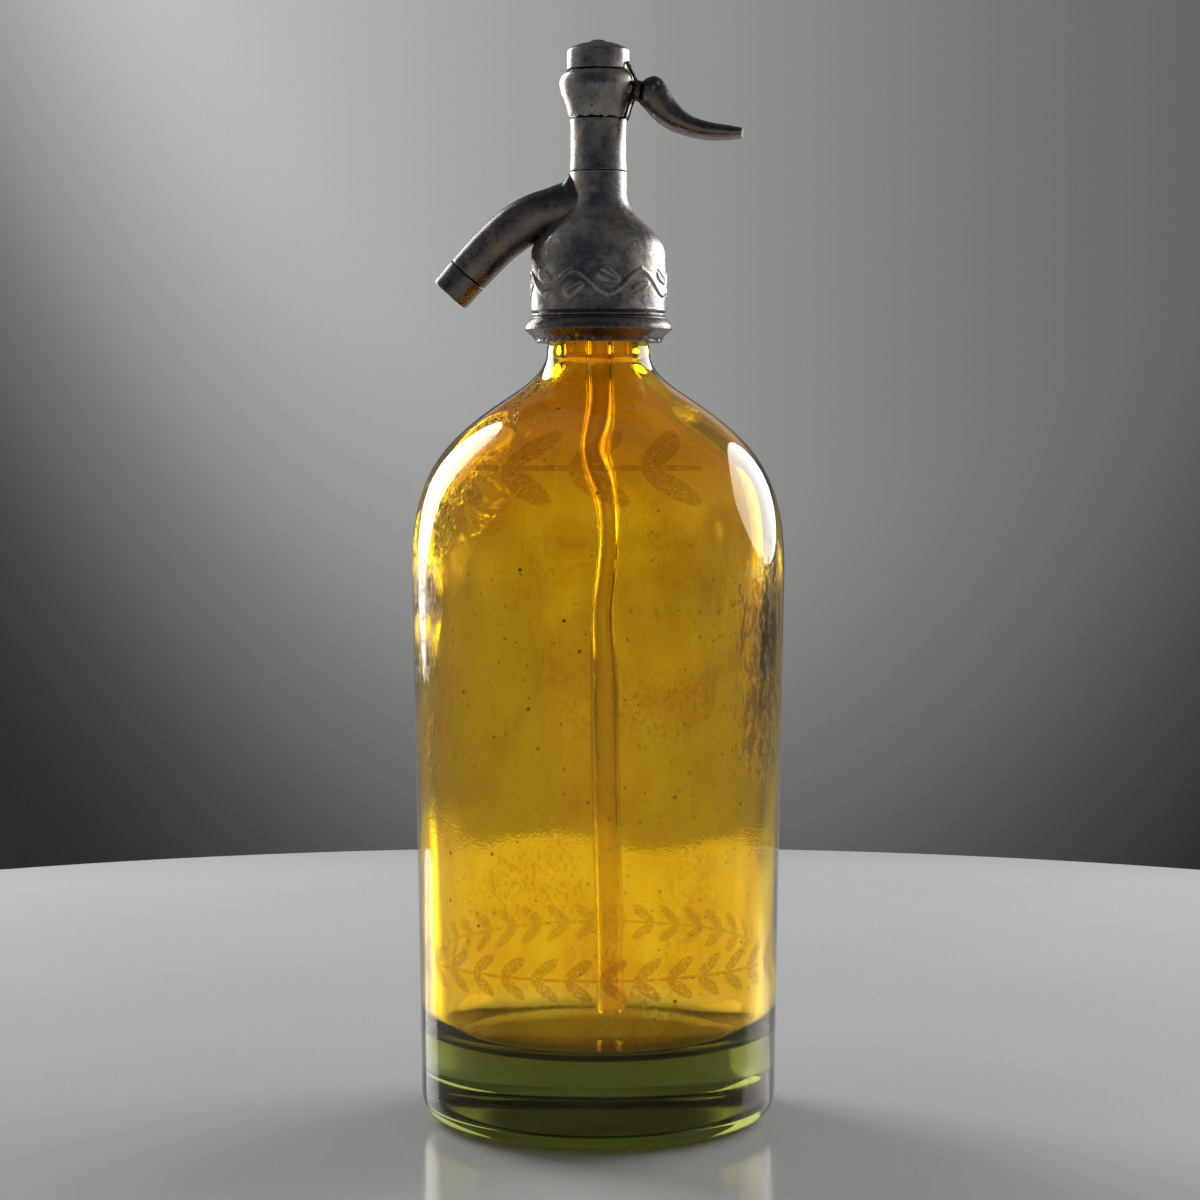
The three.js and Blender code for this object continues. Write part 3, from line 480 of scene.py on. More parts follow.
def skin(name, rows, wrap_rows=True, dent=None, sharp=SHARP_ANGLE, marks=None):
    """A mesh object over rows of points that each close on themselves. Rows that don't wrap
    get a face at both ends. Dent moves a point along its normal. Marks give each row a number,
    which the mesh keeps as its attribute "inner"."""
    width = len(rows[0])
    faces = []
    for i in range(len(rows) if wrap_rows else len(rows) - 1):
        for j in range(width):
            k, m = (i + 1) % len(rows), (j + 1) % width
            faces.append((i * width + j, i * width + m, k * width + m, k * width + j))
    if not wrap_rows:
        last = (len(rows) - 1) * width
        faces += [tuple(range(width)), tuple(range(last, last + width))]
    mesh = bpy.data.meshes.new(name)
    mesh.from_pydata([tuple(p) for row in rows for p in row], [], faces)
    grown = bmesh.new()
    grown.from_mesh(mesh)
    layer = grown.verts.layers.float.new("inner") if marks else None
    if marks:
        for vertex in grown.verts:
            vertex[layer] = marks[vertex.index // width]
    bmesh.ops.remove_doubles(grown, verts=grown.verts, dist=SAME_POINT)
    bmesh.ops.recalc_face_normals(grown, faces=grown.faces)
    if dent:
        grown.normal_update()
        depths = [dent(v.co, v[layer]) if marks else dent(v.co) for v in grown.verts]
        shifts = [v.normal * depth for v, depth in zip(grown.verts, depths)]
        for vertex, shift in zip(grown.verts, shifts):
            vertex.co += shift
    for vertex in grown.verts:
        vertex.co *= MM
    grown.to_mesh(mesh)
    grown.free()
    mesh.shade_smooth()
    mesh.set_sharp_from_angle(angle=math.radians(sharp))
    made = bpy.data.objects.new(name, mesh)
    bpy.context.scene.collection.objects.link(made)
    return made


def ring(radius, height, sides):
    """Points on a level circle round the siphon's axis."""
    turns = [i * (math.tau / sides) for i in range(sides)]
    return [Vector((radius * math.cos(turn), radius * math.sin(turn), height)) for turn in turns]


def turned(name, outline, sides=96, **options):
    """A closed outline of radius and height, turned about the siphon's axis."""
    return skin(name, [ring(r, z, sides) for r, z in outline], **options)


def swept(name, places, radii, sides=20, wrap_rows=False, lifts=None, **options):
    """Rings of points along a bent line. Each place is a middle point and a direction.
    Lifts raise the top of a ring, which is the side where the turn is half a round."""
    rows = []
    for i, ((middle, along), radius) in enumerate(zip(places, radii)):
        across = Vector((0, 1, 0))
        if abs(along.normalized().dot(across)) > 0.8:
            across = Vector((1, 0, 0))
        up = along.cross(across).normalized()
        across = up.cross(along).normalized()
        row = []
        for k in range(sides):
            turn = math.tau * k / sides
            point = middle + (up * math.cos(turn) + across * math.sin(turn)) * radius
            if lifts:
                point.z += lifts[i] * max(0.0, -math.cos(turn)) ** 2
            row.append(point)
        rows.append(row)
    return skin(name, rows, wrap_rows=wrap_rows, **options)


def combined(target, tool, operation):
    """The target with a tool's shape cut away or added. The tool is used up."""
    change = target.modifiers.new("change", "BOOLEAN")
    change.operation, change.object, change.solver = operation, tool, "EXACT"
    view = bpy.context.evaluated_depsgraph_get()
    mesh = bpy.data.meshes.new_from_object(target.evaluated_get(view))
    target.modifiers.clear()
    target.data = mesh
    mesh.shade_smooth()
    mesh.set_sharp_from_angle(angle=math.radians(SHARP_ANGLE))
    bpy.data.objects.remove(tool)


def slab(name, low, high, ease=0.0):
    """A block between two corners, with its edges rounded."""
    grown = bmesh.new()
    bmesh.ops.create_cube(grown, size=1)
    low, high = Vector(low) * MM, Vector(high) * MM
    for vertex in grown.verts:
        vertex.co = [(a + b) / 2 + c * (b - a) for a, b, c in zip(low, high, vertex.co)]
    if ease:
        bmesh.ops.bevel(grown, geom=grown.edges[:], offset=ease * MM, segments=3, affect="EDGES")
    mesh = bpy.data.meshes.new(name)
    grown.to_mesh(mesh)
    grown.free()
    made = bpy.data.objects.new(name, mesh)
    bpy.context.scene.collection.objects.link(made)
    return made


def dress(piece, node, body, material):
    """A piece that stands for a CAD node."""
    piece.data.materials.clear()
    piece.data.materials.append(material)
    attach(piece, body)
    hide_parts(node)


def cast(depth, size, seed=0.0):
    """The slight unevenness of a hand-finished casting, in millimetres."""
    shift = Vector((seed, seed, seed))
    return lambda p: depth * noise.noise(p / size + shift)


# Glass bottle


# Two curves that meet, as shares of the shoulder's width and height
SHOULDER_HEIGHT = 60
SHOULDER = [[(1, 0.404), (0.848, 0.571), (0.308, 0.79)], [(0.203, 0.833), (0, 0.906), (0, 1)]]


def shoulder(wide, narrow, bottom):
    """The shoulder's curve, from the body up to the throat."""
    across, up = wide - narrow, SHOULDER_HEIGHT
    place = lambda share: (narrow + across * share[0], bottom + up * share[1])
    first = bezier([(wide, bottom), *map(place, SHOULDER[0])], 34)
    return first + bezier([first[-1], *map(place, SHOULDER[1])], 22)


def side(low, wide, bottom, top):
    """The body's slightly bulging side."""
    middle = (low + (wide - low) * 0.41, (bottom + top) / 2)
    return bezier([(low, bottom), middle, (wide, top)], 40)


def bottle_outside():
    """From the middle of the hollow foot up to the lip."""
    points = [Vector((0, FOOT_HOLLOW))]
    points += bezier([(0, FOOT_HOLLOW), (28, FOOT_HOLLOW), (35, 0)], 10)
    points += [Vector((FOOT_RADIUS, 0))]
    points += bezier([(FOOT_RADIUS, 0), (LOW_RADIUS, 0), (LOW_RADIUS, FOOT_BEND_Z)], 14)
    points += side(LOW_RADIUS, BODY_RADIUS, FOOT_BEND_Z, BODY_Z)
    points += shoulder(BODY_RADIUS, THROAT_RADIUS, BODY_Z)
    points += bezier([(THROAT_RADIUS, THROAT_Z), (THROAT_RADIUS, 212.5), (13.2, 213), (13.2, 217)], 10)
    points += [Vector((13.2, BEAD_Z)), Vector((14.3, BEAD_Z))]
    points += [Vector((BEAD_RADIUS, BEAD_Z + 0.7)), Vector((BEAD_RADIUS, LIP_Z - 1.4))]
    return points + bezier([(BEAD_RADIUS, LIP_Z - 1.4), (BEAD_RADIUS, LIP_Z), (13.6, LIP_Z)], 5)


def bottle_inside():
    """From the middle of the thick floor up to the lip."""
    middle, bend_z, top_z = FLOOR_Z + 0.8, FLOOR_Z + 9, BODY_Z - 3
    points = [Vector((0, middle)), *bezier([(0, middle), (20, FLOOR_Z + 0.6), (34.8, FLOOR_Z)], 8)]
    points += bezier([(34.8, FLOOR_Z), (INNER_LOW, FLOOR_Z), (INNER_LOW, bend_z)], 12)
    points += side(INNER_LOW, INNER_BODY, bend_z, top_z)
    points += shoulder(INNER_BODY, INNER_THROAT, top_z)
    return points + [Vector((INNER_THROAT, LIP_Z - 0.7)), Vector((10.2, LIP_Z))]


def bottle_outline():
    """The whole outline, with a mark of 1 on each point of the inside."""
    outside = refined(bottle_outside(), 4.0, closed=False)
    inside = refined(bottle_inside()[::-1], 4.0, closed=False)
    return [*outside, *inside], [0.0] * len(outside) + [1.0] * len(inside)


def bottle_dent(p, inner):
    """Waves of old blown glass: faint outside, and deepest inside, from half height to the shoulder."""
    wave = noise.noise(p / 30) + 0.12 * noise.noise(p / 11 + Vector((7, 3, 1)))
    if inner:
        middle = smooth(105, 140, p.z) * smooth(200, 178, p.z)
        swirl = noise.noise(Vector((p.x / 17, p.y / 17 + 5, p.z / 26 + 1.7)))
        depth = (0.2 + 0.25 * middle) * wave + 1.5 * middle * swirl
        return depth * smooth(FLOOR_Z - 1, FLOOR_Z + 14, p.z)
    return 0.05 * wave - 0.05


bottle_rows, bottle_marks = bottle_outline()
bottle = turned("bottle", bottle_rows, sides=224, dent=bottle_dent, sharp=50, marks=bottle_marks)
dress(bottle, "glass_bottle", "siphon", amber_glass)


# Dip tube: leans a little towards the lever at its foot


TUBE_FOOT_Z, TUBE_RADIUS, TUBE_BORE, FLANGE_RADIUS, TUBE_LEAN = 29.0, 3.9, 2.6, 6.6, -0.95


def tube_outline():
    stem = [(TUBE_BORE, TUBE_FOOT_Z), (TUBE_RADIUS, TUBE_FOOT_Z), (TUBE_RADIUS, SEAT_Z - 0.5)]
    flange = [(4.3, SEAT_Z), (FLANGE_RADIUS, SEAT_Z), (FLANGE_RADIUS, SEAT_Z + 1.6)]
    return refined(eased([*stem, *flange, (TUBE_BORE, SEAT_Z + 1.6)], 0.4), 5.0)


dip_tube = turned("dip_tube", tube_outline(), sides=48, dent=cast(0.12, 11))
lean = Matrix.Rotation(math.radians(TUBE_LEAN), 4, "Y")
lean = Matrix.Translation((0, 0, SEAT_Z * MM)) @ lean
dip_tube.data.transform(lean @ Matrix.Translation((0, 0, -SEAT_Z * MM)))
dress(dip_tube, "dip_tube", "siphon", tube_glass)


# Split collar


def collar_outline():
    foot = [(13.5, COLLAR_Z), (17.3, COLLAR_Z), (17.3, 213.4)]
    bead = through([(17.3, 213.4), (18.1, 214.4), (19.4, 215.6), (20.0, 216.1), (20.1, 216.65)], 5)
    bead += through([(20.1, 216.65), (20.0, 217.4), (19.5, 218.2), (18.85, 218.95), (18.3, 219.2)], 5)[1:]
    band = [(18.3, 219.4), (17.9, 219.65), (18.3, 219.9), (18.3, COLLAR_TOP_Z), (16.4, COLLAR_TOP_Z)]
    thread = [(16.4, 225.5), (15.3, 225.5), (15.3, 220.7), (13.5, 220.7)]
    return eased([*foot, *bead, *band, *thread], 0.18)


def collar_dent(p):
    """A cast skin, ragged on the outer lower rim."""
    ragged = smooth(214.6, 213.4, p.z) * 0.28 * noise.noise(p / 0.9)
    return 0.08 * noise.noise(p / 3.2) + ragged * (math.hypot(p.x, p.y) > 17)


def collar_half(name, start):
    """Half a turn of the collar, with a fine chipped gap left at both ends."""
    outline, rows, steps = collar_outline(), [], 120
    chipped = lambda p: 0.012 * noise.noise(Vector((p[0], p[1], start)) / 1.4)
    for step in range(steps + 1):
        share = step / steps
        row = []
        for p in outline:
            inset = 0.15 / p[0]
            first, last = start + inset + chipped(p), start + math.pi - inset - chipped(p)
            turn = first + (last - first) * share
            row.append(Vector((p[0] * math.cos(turn), p[0] * math.sin(turn), p[1])))
        rows.append(row)
    return skin(name, rows, wrap_rows=False, dent=collar_dent)


for name, start in (("collar_half_left", SPLIT_ANGLE), ("collar_half_right", SPLIT_ANGLE + math.pi)):
    half = collar_half(name + "_cast", start)
    dress(half, name, "siphon", collar_pewter)


# Head casting, with a plain vine in relief round its skirt


# Two curves that meet, as shares of the bell's width and height over its skirt
HEAD = [[(1, 0.24), (0.69, 0.406), (0.444, 0.544)], [(0.227, 0.667), (0, 0.8), (0, 1)]]
BELL_Z, BELL_HEIGHT = 235.4, 18


def vine(p):
    """Height of the relief, 0 to 1: a waving stem with a leaf in each bend and a bud on it."""
    waves, middle, swing = 6, 228.6, 3.0
    period = math.tau * SKIRT_RADIUS / waves
    along = (math.atan2(p.y, p.x) * SKIRT_RADIUS) % period
    phase = math.tau * along / period
    slope = swing * math.tau / period * math.cos(phase)
    height = 1 - smooth(0.4, 0.75, abs(p.z - middle - swing * math.sin(phase)) / math.hypot(1, slope))
    for centre, lift, tilt in ((period / 4, -1.6, 0.45), (period * 3 / 4, 1.6, -0.45)):
        x, z = along - centre, p.z - middle - lift
        u, v = x * math.cos(tilt) + z * math.sin(tilt), z * math.cos(tilt) - x * math.sin(tilt)
        leaf = 1 - smooth(0.75, 1.05, math.hypot(u / 3.7, v / (1.75 - 0.25 * u)))
        vein = 1 - smooth(0.1, 0.32, abs(v))
        height = max(height, leaf * (1 - 0.6 * vein))
        bud = 1 - smooth(0.6, 1.0, math.hypot(x, z + 2.9 * lift))
        height = max(height, bud)
    return height


def head_dent(p):
    """A cast skin on the outside, with the vine round the skirt."""
    reach = math.hypot(p.x, p.y)
    skin_depth = 0.1 * noise.noise(p / 6) + 0.05 * noise.noise(p / 2.1) - 0.06
    if reach > 17.6 and 221.4 < p.z < 237:
        return skin_depth + 0.34 * vine(p) - 0.16
    return skin_depth if reach > 7.7 else 0.0


def head_outline():
    across = SKIRT_RADIUS - NECK_RADIUS
    place = lambda share: (NECK_RADIUS + across * share[0], BELL_Z + BELL_HEIGHT * share[1])
    outside = [Vector((18.2, SKIRT_Z)), Vector((SKIRT_RADIUS, SKIRT_Z + 0.4))]
    outside += [Vector((SKIRT_RADIUS, BELL_Z))]
    outside += bezier([(SKIRT_RADIUS, BELL_Z), *map(place, HEAD[0])], 26)
    outside += bezier([outside[-1], *map(place, HEAD[1])], 18)
    outside += [Vector((NECK_RADIUS, HEAD_TOP_Z))]
    fine = refined(outside[:3], 0.28, closed=False) + refined(outside[2:], 0.9, closed=False)[1:]
    inside = [(6, HEAD_TOP_Z), (6, 265.1), (4.4, 265.1), (4.4, 257), (2.05, 257), (2.05, 255.5)]
    inside += [(5.2, 255.5), (5.2, 236), (7, 236), (7, SEAT_Z), (16.7, SEAT_Z), (16.7, SKIRT_Z)]
    return fine + eased(inside, 0.2)


head = turned("head_casting", head_outline(), sides=440, dent=head_dent)
dress(head, "head_bell", "siphon", bell_pewter)


# Spout and its nozzle


def spout_line(steps=400):
    """Middle points from the port to the mouth, with the length up to each."""
    shares = [(0, 0), (0.423, 0), (0.576, 0.273), (1, 1)]
    corners = [PORT - Vector((SPOUT_REACH * reach, 0, SPOUT_DROP * drop)) for reach, drop in shares]
    points = [corners[0], *bezier(corners, steps)]
    lengths = [0.0]
    for a, b in zip(points, points[1:]):
        lengths.append(lengths[-1] + (b - a).length)
    return points, lengths


LINE, LENGTHS = spout_line()
SPOUT_LENGTH = LENGTHS[-1]
NOZZLE_START = SPOUT_LENGTH - NOZZLE_LENGTH


def on_spout(length):
    """The middle point and the direction at a length along the spout."""
    index = min(range(len(LENGTHS)), key=lambda i: abs(LENGTHS[i] - length))
    along = LINE[min(index + 1, len(LINE) - 1)] - LINE[max(index - 1, 0)]
    return LINE[index] + along.normalized() * (length - LENGTHS[index]), along


def spout_radius(length):
    return SPOUT_RADIUS + (MOUTH_RADIUS - SPOUT_RADIUS) * length / SPOUT_LENGTH


def root_lift(length):
    """How far the top of the spout rises into the head, close to its root."""
    slope = max(0.0, (9 - length) / 4)
    flare = max(0.0, (4 - max(length, 2.5)) / 1.2)
    return 0.65 * slope**1.5 + 1.2 * flare**2


def bent(name, outline, sides=72, dent=None):
    """A closed outline of length and radius, turned about the spout's bent line."""
    radii = [radius for _, radius in outline]
    lifts = [root_lift(s) if radius > 5 else 0.0 for s, radius in outline]
    places = [on_spout(length) for length, _ in outline]
    return swept(name, places, radii, sides, wrap_rows=True, lifts=lifts, dent=dent)


# The spout's root sits a little inside the head, and a spigot on its end goes into the nozzle.
ROOT, SPIGOT_LENGTH, SPIGOT_RADIUS = -0.4, 4, 4.6


def spout_outline():
    outer = [(s, spout_radius(s)) for s in (ROOT, 10, 20, 30, NOZZLE_START)]
    spigot_end = NOZZLE_START + SPIGOT_LENGTH
    inner = [(NOZZLE_START, SPIGOT_RADIUS), (spigot_end, SPIGOT_RADIUS)]
    inner += [(spigot_end, SPOUT_BORE), (ROOT, SPOUT_BORE)]
    return refined(eased([*outer, *inner], 0.22), 0.8)


def nozzle_outline():
    start, socket_radius = NOZZLE_START + 0.3, 4.9
    socket_end = start + SPIGOT_LENGTH
    outer = [(start, spout_radius(start)), (SPOUT_LENGTH, MOUTH_RADIUS), (SPOUT_LENGTH, SPOUT_BORE)]
    inner = [(socket_end, SPOUT_BORE), (socket_end, socket_radius), (start, socket_radius)]
    return refined(eased([*outer, *inner], 0.4), 0.5)


spout = bent("spout_cast", spout_outline(), dent=cast(0.11, 5.5, 2.0))
dress(spout, "spout_tube", "siphon", spout_pewter)
nozzle = bent("nozzle_cast", nozzle_outline(), dent=cast(0.09, 2.6, 5.0))
dress(nozzle, "nozzle_tip", "siphon", spout_pewter)


# Neck tube, lever housing and cap


def neck_outline():
    outside = [(7.75, NECK_TUBE_Z), (7.6, 262), (7.6, 270.3), (7.75, NECK_TUBE_TOP_Z)]
    inside = [(6.5, NECK_TUBE_TOP_Z), (6.5, 266.2), (4.6, 266.2)]
    inside += [(4.6, 265.4), (6.3, 265.4), (6.3, NECK_TUBE_Z)]
    return refined(eased([*outside, *inside], 0.15), 0.8)


HOUSING = [Vector((8.0, HOUSING_Z)), Vector((8.2, 273.9)), Vector((9.35, 278.0))]
HOUSING += bezier([HOUSING[-1], (10.9, 281.85), (11.2, 284.66), (8.7, HOUSING_TOP_Z)], 20)


def housing_outline():
    inside = [(7.2, HOUSING_TOP_Z), (7.2, 276.6), (4.6, 276.6)]
    inside += [(4.6, 266.5), (6.2, 266.5), (6.2, HOUSING_Z)]
    return refined(eased([*HOUSING, *inside], 0.2), 0.7)


def housing_dent(p):
    """A cast skin, ragged on the outer lower rim."""
    ragged = smooth(274.3, 273.5, p.z) * (0.55 * noise.noise(p / 1.1) - 0.1)
    return 0.09 * noise.noise(p / 4 + Vector((3, 3, 3))) + ragged * (math.hypot(p.x, p.y) > 7.6)


neck = turned("neck_sleeve", neck_outline(), sides=96, dent=cast(0.08, 5, 3.0))
dress(neck, "neck_tube", "siphon", neck_pewter)

housing = turned("housing_cast", housing_outline(), sides=128, dent=housing_dent)
combined(housing, slab("slot", (0, -3.3, 277.05), (13, 3.3, 284.45), ease=0.5), "DIFFERENCE")
combined(housing, slab("notch", (6.4, -5.9, 279.25), (13, 5.9, 282.85), ease=0.5), "DIFFERENCE")
dress(housing, "lever_housing", "siphon", neck_pewter)


def cap_outline():
    rim = CAP_SIDE_Z - 0.5
    side_top = [(CAP_RADIUS, CAP_Z), (CAP_RADIUS, rim)]
    dome = bezier([(CAP_RADIUS, rim), (CAP_RADIUS, CAP_SIDE_Z), (8.1, CAP_SIDE_Z + 0.25)], 6)
    dome += bezier([(8.1, CAP_SIDE_Z + 0.25), (5.33, 293.75), (2.7, 293.95)], 14)
    dome += bezier([(2.7, 293.95), (1.9, CAP_TOP_Z), (0, CAP_TOP_Z)], 8)
    inside = [(0, 291.65), (5.3, 291.65), (5.3, 283.6), (6.9, 283.6), (6.9, CAP_Z)]
    return refined(eased([*side_top, *dome, *inside], 0.2), 0.8)


cap_skin = cast(0.1, 3.4, 6.0)
cap = turned("cap_cast", cap_outline(), sides=128, dent=lambda p: cap_skin(p) - 0.06)
combined(cap, slab("flat", (7.8, -9, 284), (12, 9, 288.7), ease=0.3), "DIFFERENCE")
dress(cap, "top_cap", "siphon", neck_pewter)


# Retaining wire: a hairpin from the cap down both sides of the lever


HAIRPIN_RADIUS, HAIRPIN_HALF_WIDTH, HAIRPIN_REACH, HAIRPIN_TOP_Z = 0.33, 3.8, 8.4, 288.1


def wire_path():
    """Down each side it follows the housing's bulge, 0.45 mm off it."""
    leg = [(7.14, 272.9)]
    for share in (0.05, 0.25, 0.45, 0.62, 0.78, 0.9):
        height = HOUSING_Z + (HOUSING_TOP_Z - HOUSING_Z) * share
        low, high = next(pair for pair in zip(HOUSING, HOUSING[1:]) if pair[1][1] >= height)
        radius = low.lerp(high, (height - low[1]) / (high[1] - low[1]))[0] + 0.45
        leg.append((math.sqrt(radius**2 - HAIRPIN_HALF_WIDTH**2), height))
    near = [(x, HAIRPIN_HALF_WIDTH, z) for x, z in leg]
    near += [(HAIRPIN_REACH, HAIRPIN_HALF_WIDTH, 287.3)]
    near += [(HAIRPIN_REACH, y, HAIRPIN_TOP_Z) for y in (3.0, 0)]
    return through([*near, *[(x, -y, z) for x, y, z in reversed(near[:-1])]], 8)


def aimed(points):
    """Each point with the direction of the line there."""
    last = len(points) - 1
    return [(p, points[min(i + 1, last)] - points[max(i - 1, 0)]) for i, p in enumerate(points)]


hairpin = aimed(wire_path())
wire = swept("wire_hairpin", hairpin, [HAIRPIN_RADIUS] * len(hairpin), sides=12)
dress(wire, "retaining_wire", "siphon", wire_steel)


# Lever: humped handle, shank, trunnions and fork


# Each row is the top point, the bottom point and the half-width of a section of the handle:
# share of the length, share of the height, the same, share of the width.
LEVER_ROWS = [
    (0, 0.4, 0, -0.12, 0.47),
    (0.05, 0.74, 0.02, -0.18, 0.47),
    (0.115, 0.64, 0.09, -0.27, 0.47),
    (0.135, 0.68, 0.102, -0.31, 0.56),
    (0.165, 0.86, 0.125, -0.38, 0.72),
    (0.22, 1, 0.155, -0.47, 0.83),
    (0.265, 0.9, 0.19, -0.57, 0.92),
    (0.307, 0.62, 0.225, -0.65, 0.98),
    (0.35, 0.08, 0.265, -0.74, 1),
    (0.395, -0.18, 0.32, -0.83, 1),
    (0.437, -0.32, 0.38, -0.92, 0.98),
    (0.498, -0.48, 0.455, -0.99, 0.95),
    (0.585, -0.62, 0.56, -1.07, 0.91),
    (0.716, -0.73, 0.7, -1.125, 0.86),
    (0.87, -0.8, 0.862, -1.125, 0.79),
    (1, -0.86, 0.99, -1.09, 0.7),
]


def handle_rows(sides=56):
    rise = lambda share: share * (LEVER_RISE if share > 0 else LEVER_DROP)
    sections = []
    for top, top_rise, low, low_rise, width in LEVER_ROWS:
        high_point = LEVER_LENGTH * top, rise(top_rise)
        low_point = LEVER_LENGTH * low, rise(low_rise)
        sections.append((*high_point, *low_point, LEVER_HALF_WIDTH * width))
    rows = []
    for top_x, top_z, low_x, low_z, half in through([Vector(s) for s in sections], 5):
        top, low = PIVOT + Vector((top_x, 0, top_z)), PIVOT + Vector((low_x, 0, low_z))
        middle, up = (top + low) / 2, (top - low) / 2
        row = []
        for k in range(sides):
            turn = math.tau * k / sides
            row.append(middle + up * math.cos(turn) + Vector((0, half * math.sin(turn), 0)))
        rows.append(row)
    tip = sum(rows[-1], Vector()) / sides
    return [*rows[:-1], [p.lerp(tip, 0.02) for p in rows[-1]], [p.lerp(tip, 0.2) for p in rows[-1]]]


handle = skin("handle", handle_rows(), wrap_rows=False, dent=cast(0.12, 4.2, 8.0))
plate = slab("plate", (-1.5, -3, PIVOT.z - 1.5), (PIVOT.x + 1, 3, PIVOT.z + 1.5), ease=0.5)
combined(plate, slab("fork_gap", (-4, -1.6, 276), (4.1, 1.6, 286)), "DIFFERENCE")
pin_ends = [(Vector((PIVOT.x, y, PIVOT.z)), Vector((0, 1, 0))) for y in (-5.6, -5.35, 5.35, 5.6)]
pin = swept("pin", pin_ends, [1.25, 1.5, 1.5, 1.25], sides=32)
combined(handle, plate, "UNION")
combined(handle, pin, "UNION")
handle.name = "lever_cast"
dress(handle, "lever", "lever", lever_pewter)


# Return spring: a coil of wire over the height of the CAD's spring


WIRE_RADIUS, SPRING_RADIUS, SPRING_TURNS, LIFT = 0.5, 3.85, 3.5, 1.71


def coil_path(low, high, steps=168):
    """The middle of the spring's wire, from its foot up."""
    points = []
    for step in range(steps + 1):
        turn = math.tau * SPRING_TURNS * step / steps
        across = SPRING_RADIUS * math.cos(turn), SPRING_RADIUS * math.sin(turn)
        points.append(Vector((*across, low + (high - low) * step / steps)))
    return points


spring_foot, spring_top = (corner[2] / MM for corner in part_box("return_spring"))
coil = aimed(coil_path(spring_foot + WIRE_RADIUS, spring_top - WIRE_RADIUS))
spring = swept("spring_coil", coil, [WIRE_RADIUS] * len(coil), sides=12)
dress(spring, "return_spring", "siphon", spring_steel)
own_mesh(spring)


# CAD pieces that keep their shape


KEPT = {
    "neck_gasket": rubber,
    "tube_washer": rubber,
    "valve_disc": rubber,
    "valve_seat": brass,
    "packing_nut": brass,
    "valve_stem": brass,
    "valve_screw": brass,
    "stem_collar": brass,
    "stem_locknut": brass,
    "stem_packing": leather,
}
for node, material in KEPT.items():
    for material_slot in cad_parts[node].material_slots:
        material_slot.material = material


# Table, light and camera


def table():
    """A round top with a rounded edge."""
    wide, deep = 532, 22
    outline = [(0, -deep), (wide - 8, -deep), (wide, 6 - deep), (wide, -5), (wide - 5, 0), (0, 0)]
    made = turned("table", refined(eased(outline, 4), 60), sides=256)
    made.data.materials.append(table_top)


def softbox(name, place, width, height, power, aim=(0, 0, 0.17)):
    """A soft oval lamp that faces the siphon."""
    lamp = bpy.data.lights.new(name, "AREA")
    lamp.shape, lamp.size, lamp.size_y, lamp.energy = "ELLIPSE", width, height, power
    made = bpy.data.objects.new(name, lamp)
    made.location = place
    made.rotation_euler = (Vector(aim) - Vector(place)).to_track_quat("-Z", "Y").to_euler()
    bpy.context.scene.collection.objects.link(made)


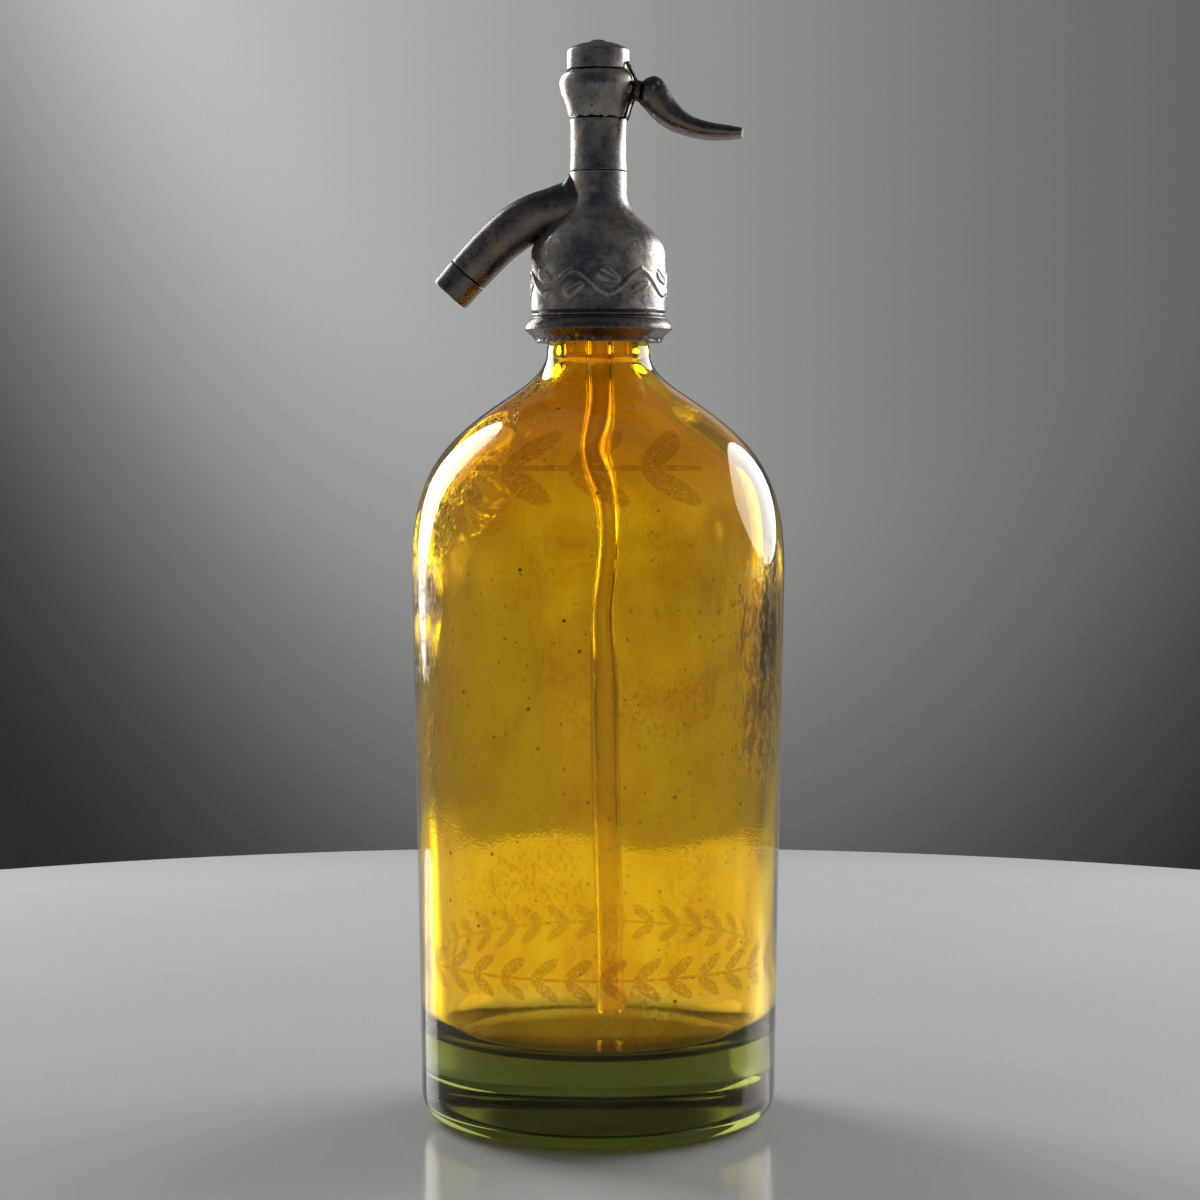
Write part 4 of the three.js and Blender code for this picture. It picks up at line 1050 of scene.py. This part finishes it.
def studio():
    """A grey backdrop behind the table and a paler one through the glass. Gloss meets a room
    that is dark in front, paler at the sides and bright at two upright strips at the back."""
    world = bpy.data.worlds.new("studio")
    world.use_nodes = True
    tree = world.node_tree
    way = Term(tree.nodes.new("ShaderNodeTexCoord").outputs["Generated"])
    x, y, z = (way.node("ShaderNodeSeparateXYZ", {}, {0: way}, i) for i in range(3))
    path = tree.nodes.new("ShaderNodeLightPath")
    seen = Term(path.outputs["Is Camera Ray"])
    through_glass = Term(path.outputs["Is Transmission Ray"])
    pool = (((x + 0.04) / 0.24) ** 2 + ((z - 0.56) / 0.5) ** 2) ** 0.5
    shade = ((0.14 + 0.46 * pool.ramp(1.76, 1.14)) * (0.83 - 1.7 * x)) ** 2.2
    shade = 0.26 + y.ramp(0.5, 0.9) * (shade - 0.26)
    backdrop = shade.between((0, 0, 0), (0.99, 1, 0.97))
    backlight = (z * 1.6 - x * 0.6 - x * x * 5.0).ramp(-0.4, 0.45)
    backlight = backlight.between(tone(0.72, 0.72, 0.72), tone(0.9, 0.9, 0.89))
    backlight = ((x + 0.1) ** 2).ramp(0.7, 0.06).between(tone(0.36, 0.36, 0.36), backlight)
    sides = y.ramp(-0.8, 0.0) * (1 - 0.85 * y.ramp(0.4, 0.85)) * (1 - 0.75 * z.ramp(0.4, 0.85))
    room = sides.between(tone(0.28, 0.295, 0.34), tone(0.68, 0.67, 0.65))
    rim = y.ramp(0.84, 0.92) * (x + 0.1).size().ramp(0.1, 0.2) * z.ramp(0.2, 0.28)
    room = rim.between(room, tone(0.82, 0.76, 0.73))
    room = z.ramp(-0.02, -0.2).between(room, tone(0.62, 0.62, 0.61))
    colour = through_glass.between(seen.between(room, backdrop), backlight)
    feed(tree.nodes["Background"].inputs["Color"], colour)
    bpy.context.scene.world = world


# Where the photograph was taken from, in metres and degrees, and its lens in millimetres
VIEW_REACH, VIEW_HEIGHT, VIEW_TURN, VIEW_DIP, VIEW_PAN = 0.8047, 0.1878, 6, 3.23, 0.033
SENSOR_WIDTH, FOCAL_LENGTH = 36, 88.14


def camera():
    lens = bpy.data.cameras.new("camera")
    lens.sensor_width, lens.lens = SENSOR_WIDTH, FOCAL_LENGTH
    made = bpy.data.objects.new("camera", lens)
    turn = math.radians(VIEW_TURN)
    made.location = (VIEW_REACH * math.sin(turn), -VIEW_REACH * math.cos(turn), VIEW_HEIGHT)
    made.rotation_euler = Euler((math.radians(90 - VIEW_DIP), 0, turn - math.radians(VIEW_PAN)))
    bpy.context.scene.collection.objects.link(made)
    bpy.context.scene.camera = made


table()
softbox("left_softbox", (-0.71, 0.6, 0.47), width=0.5, height=0.94, power=8.2)
softbox("right_softbox", (0.69, 0.63, 0.42), width=0.95, height=0.6, power=7.8)
studio()
camera()
bpy.context.scene.view_settings.view_transform = "Standard"
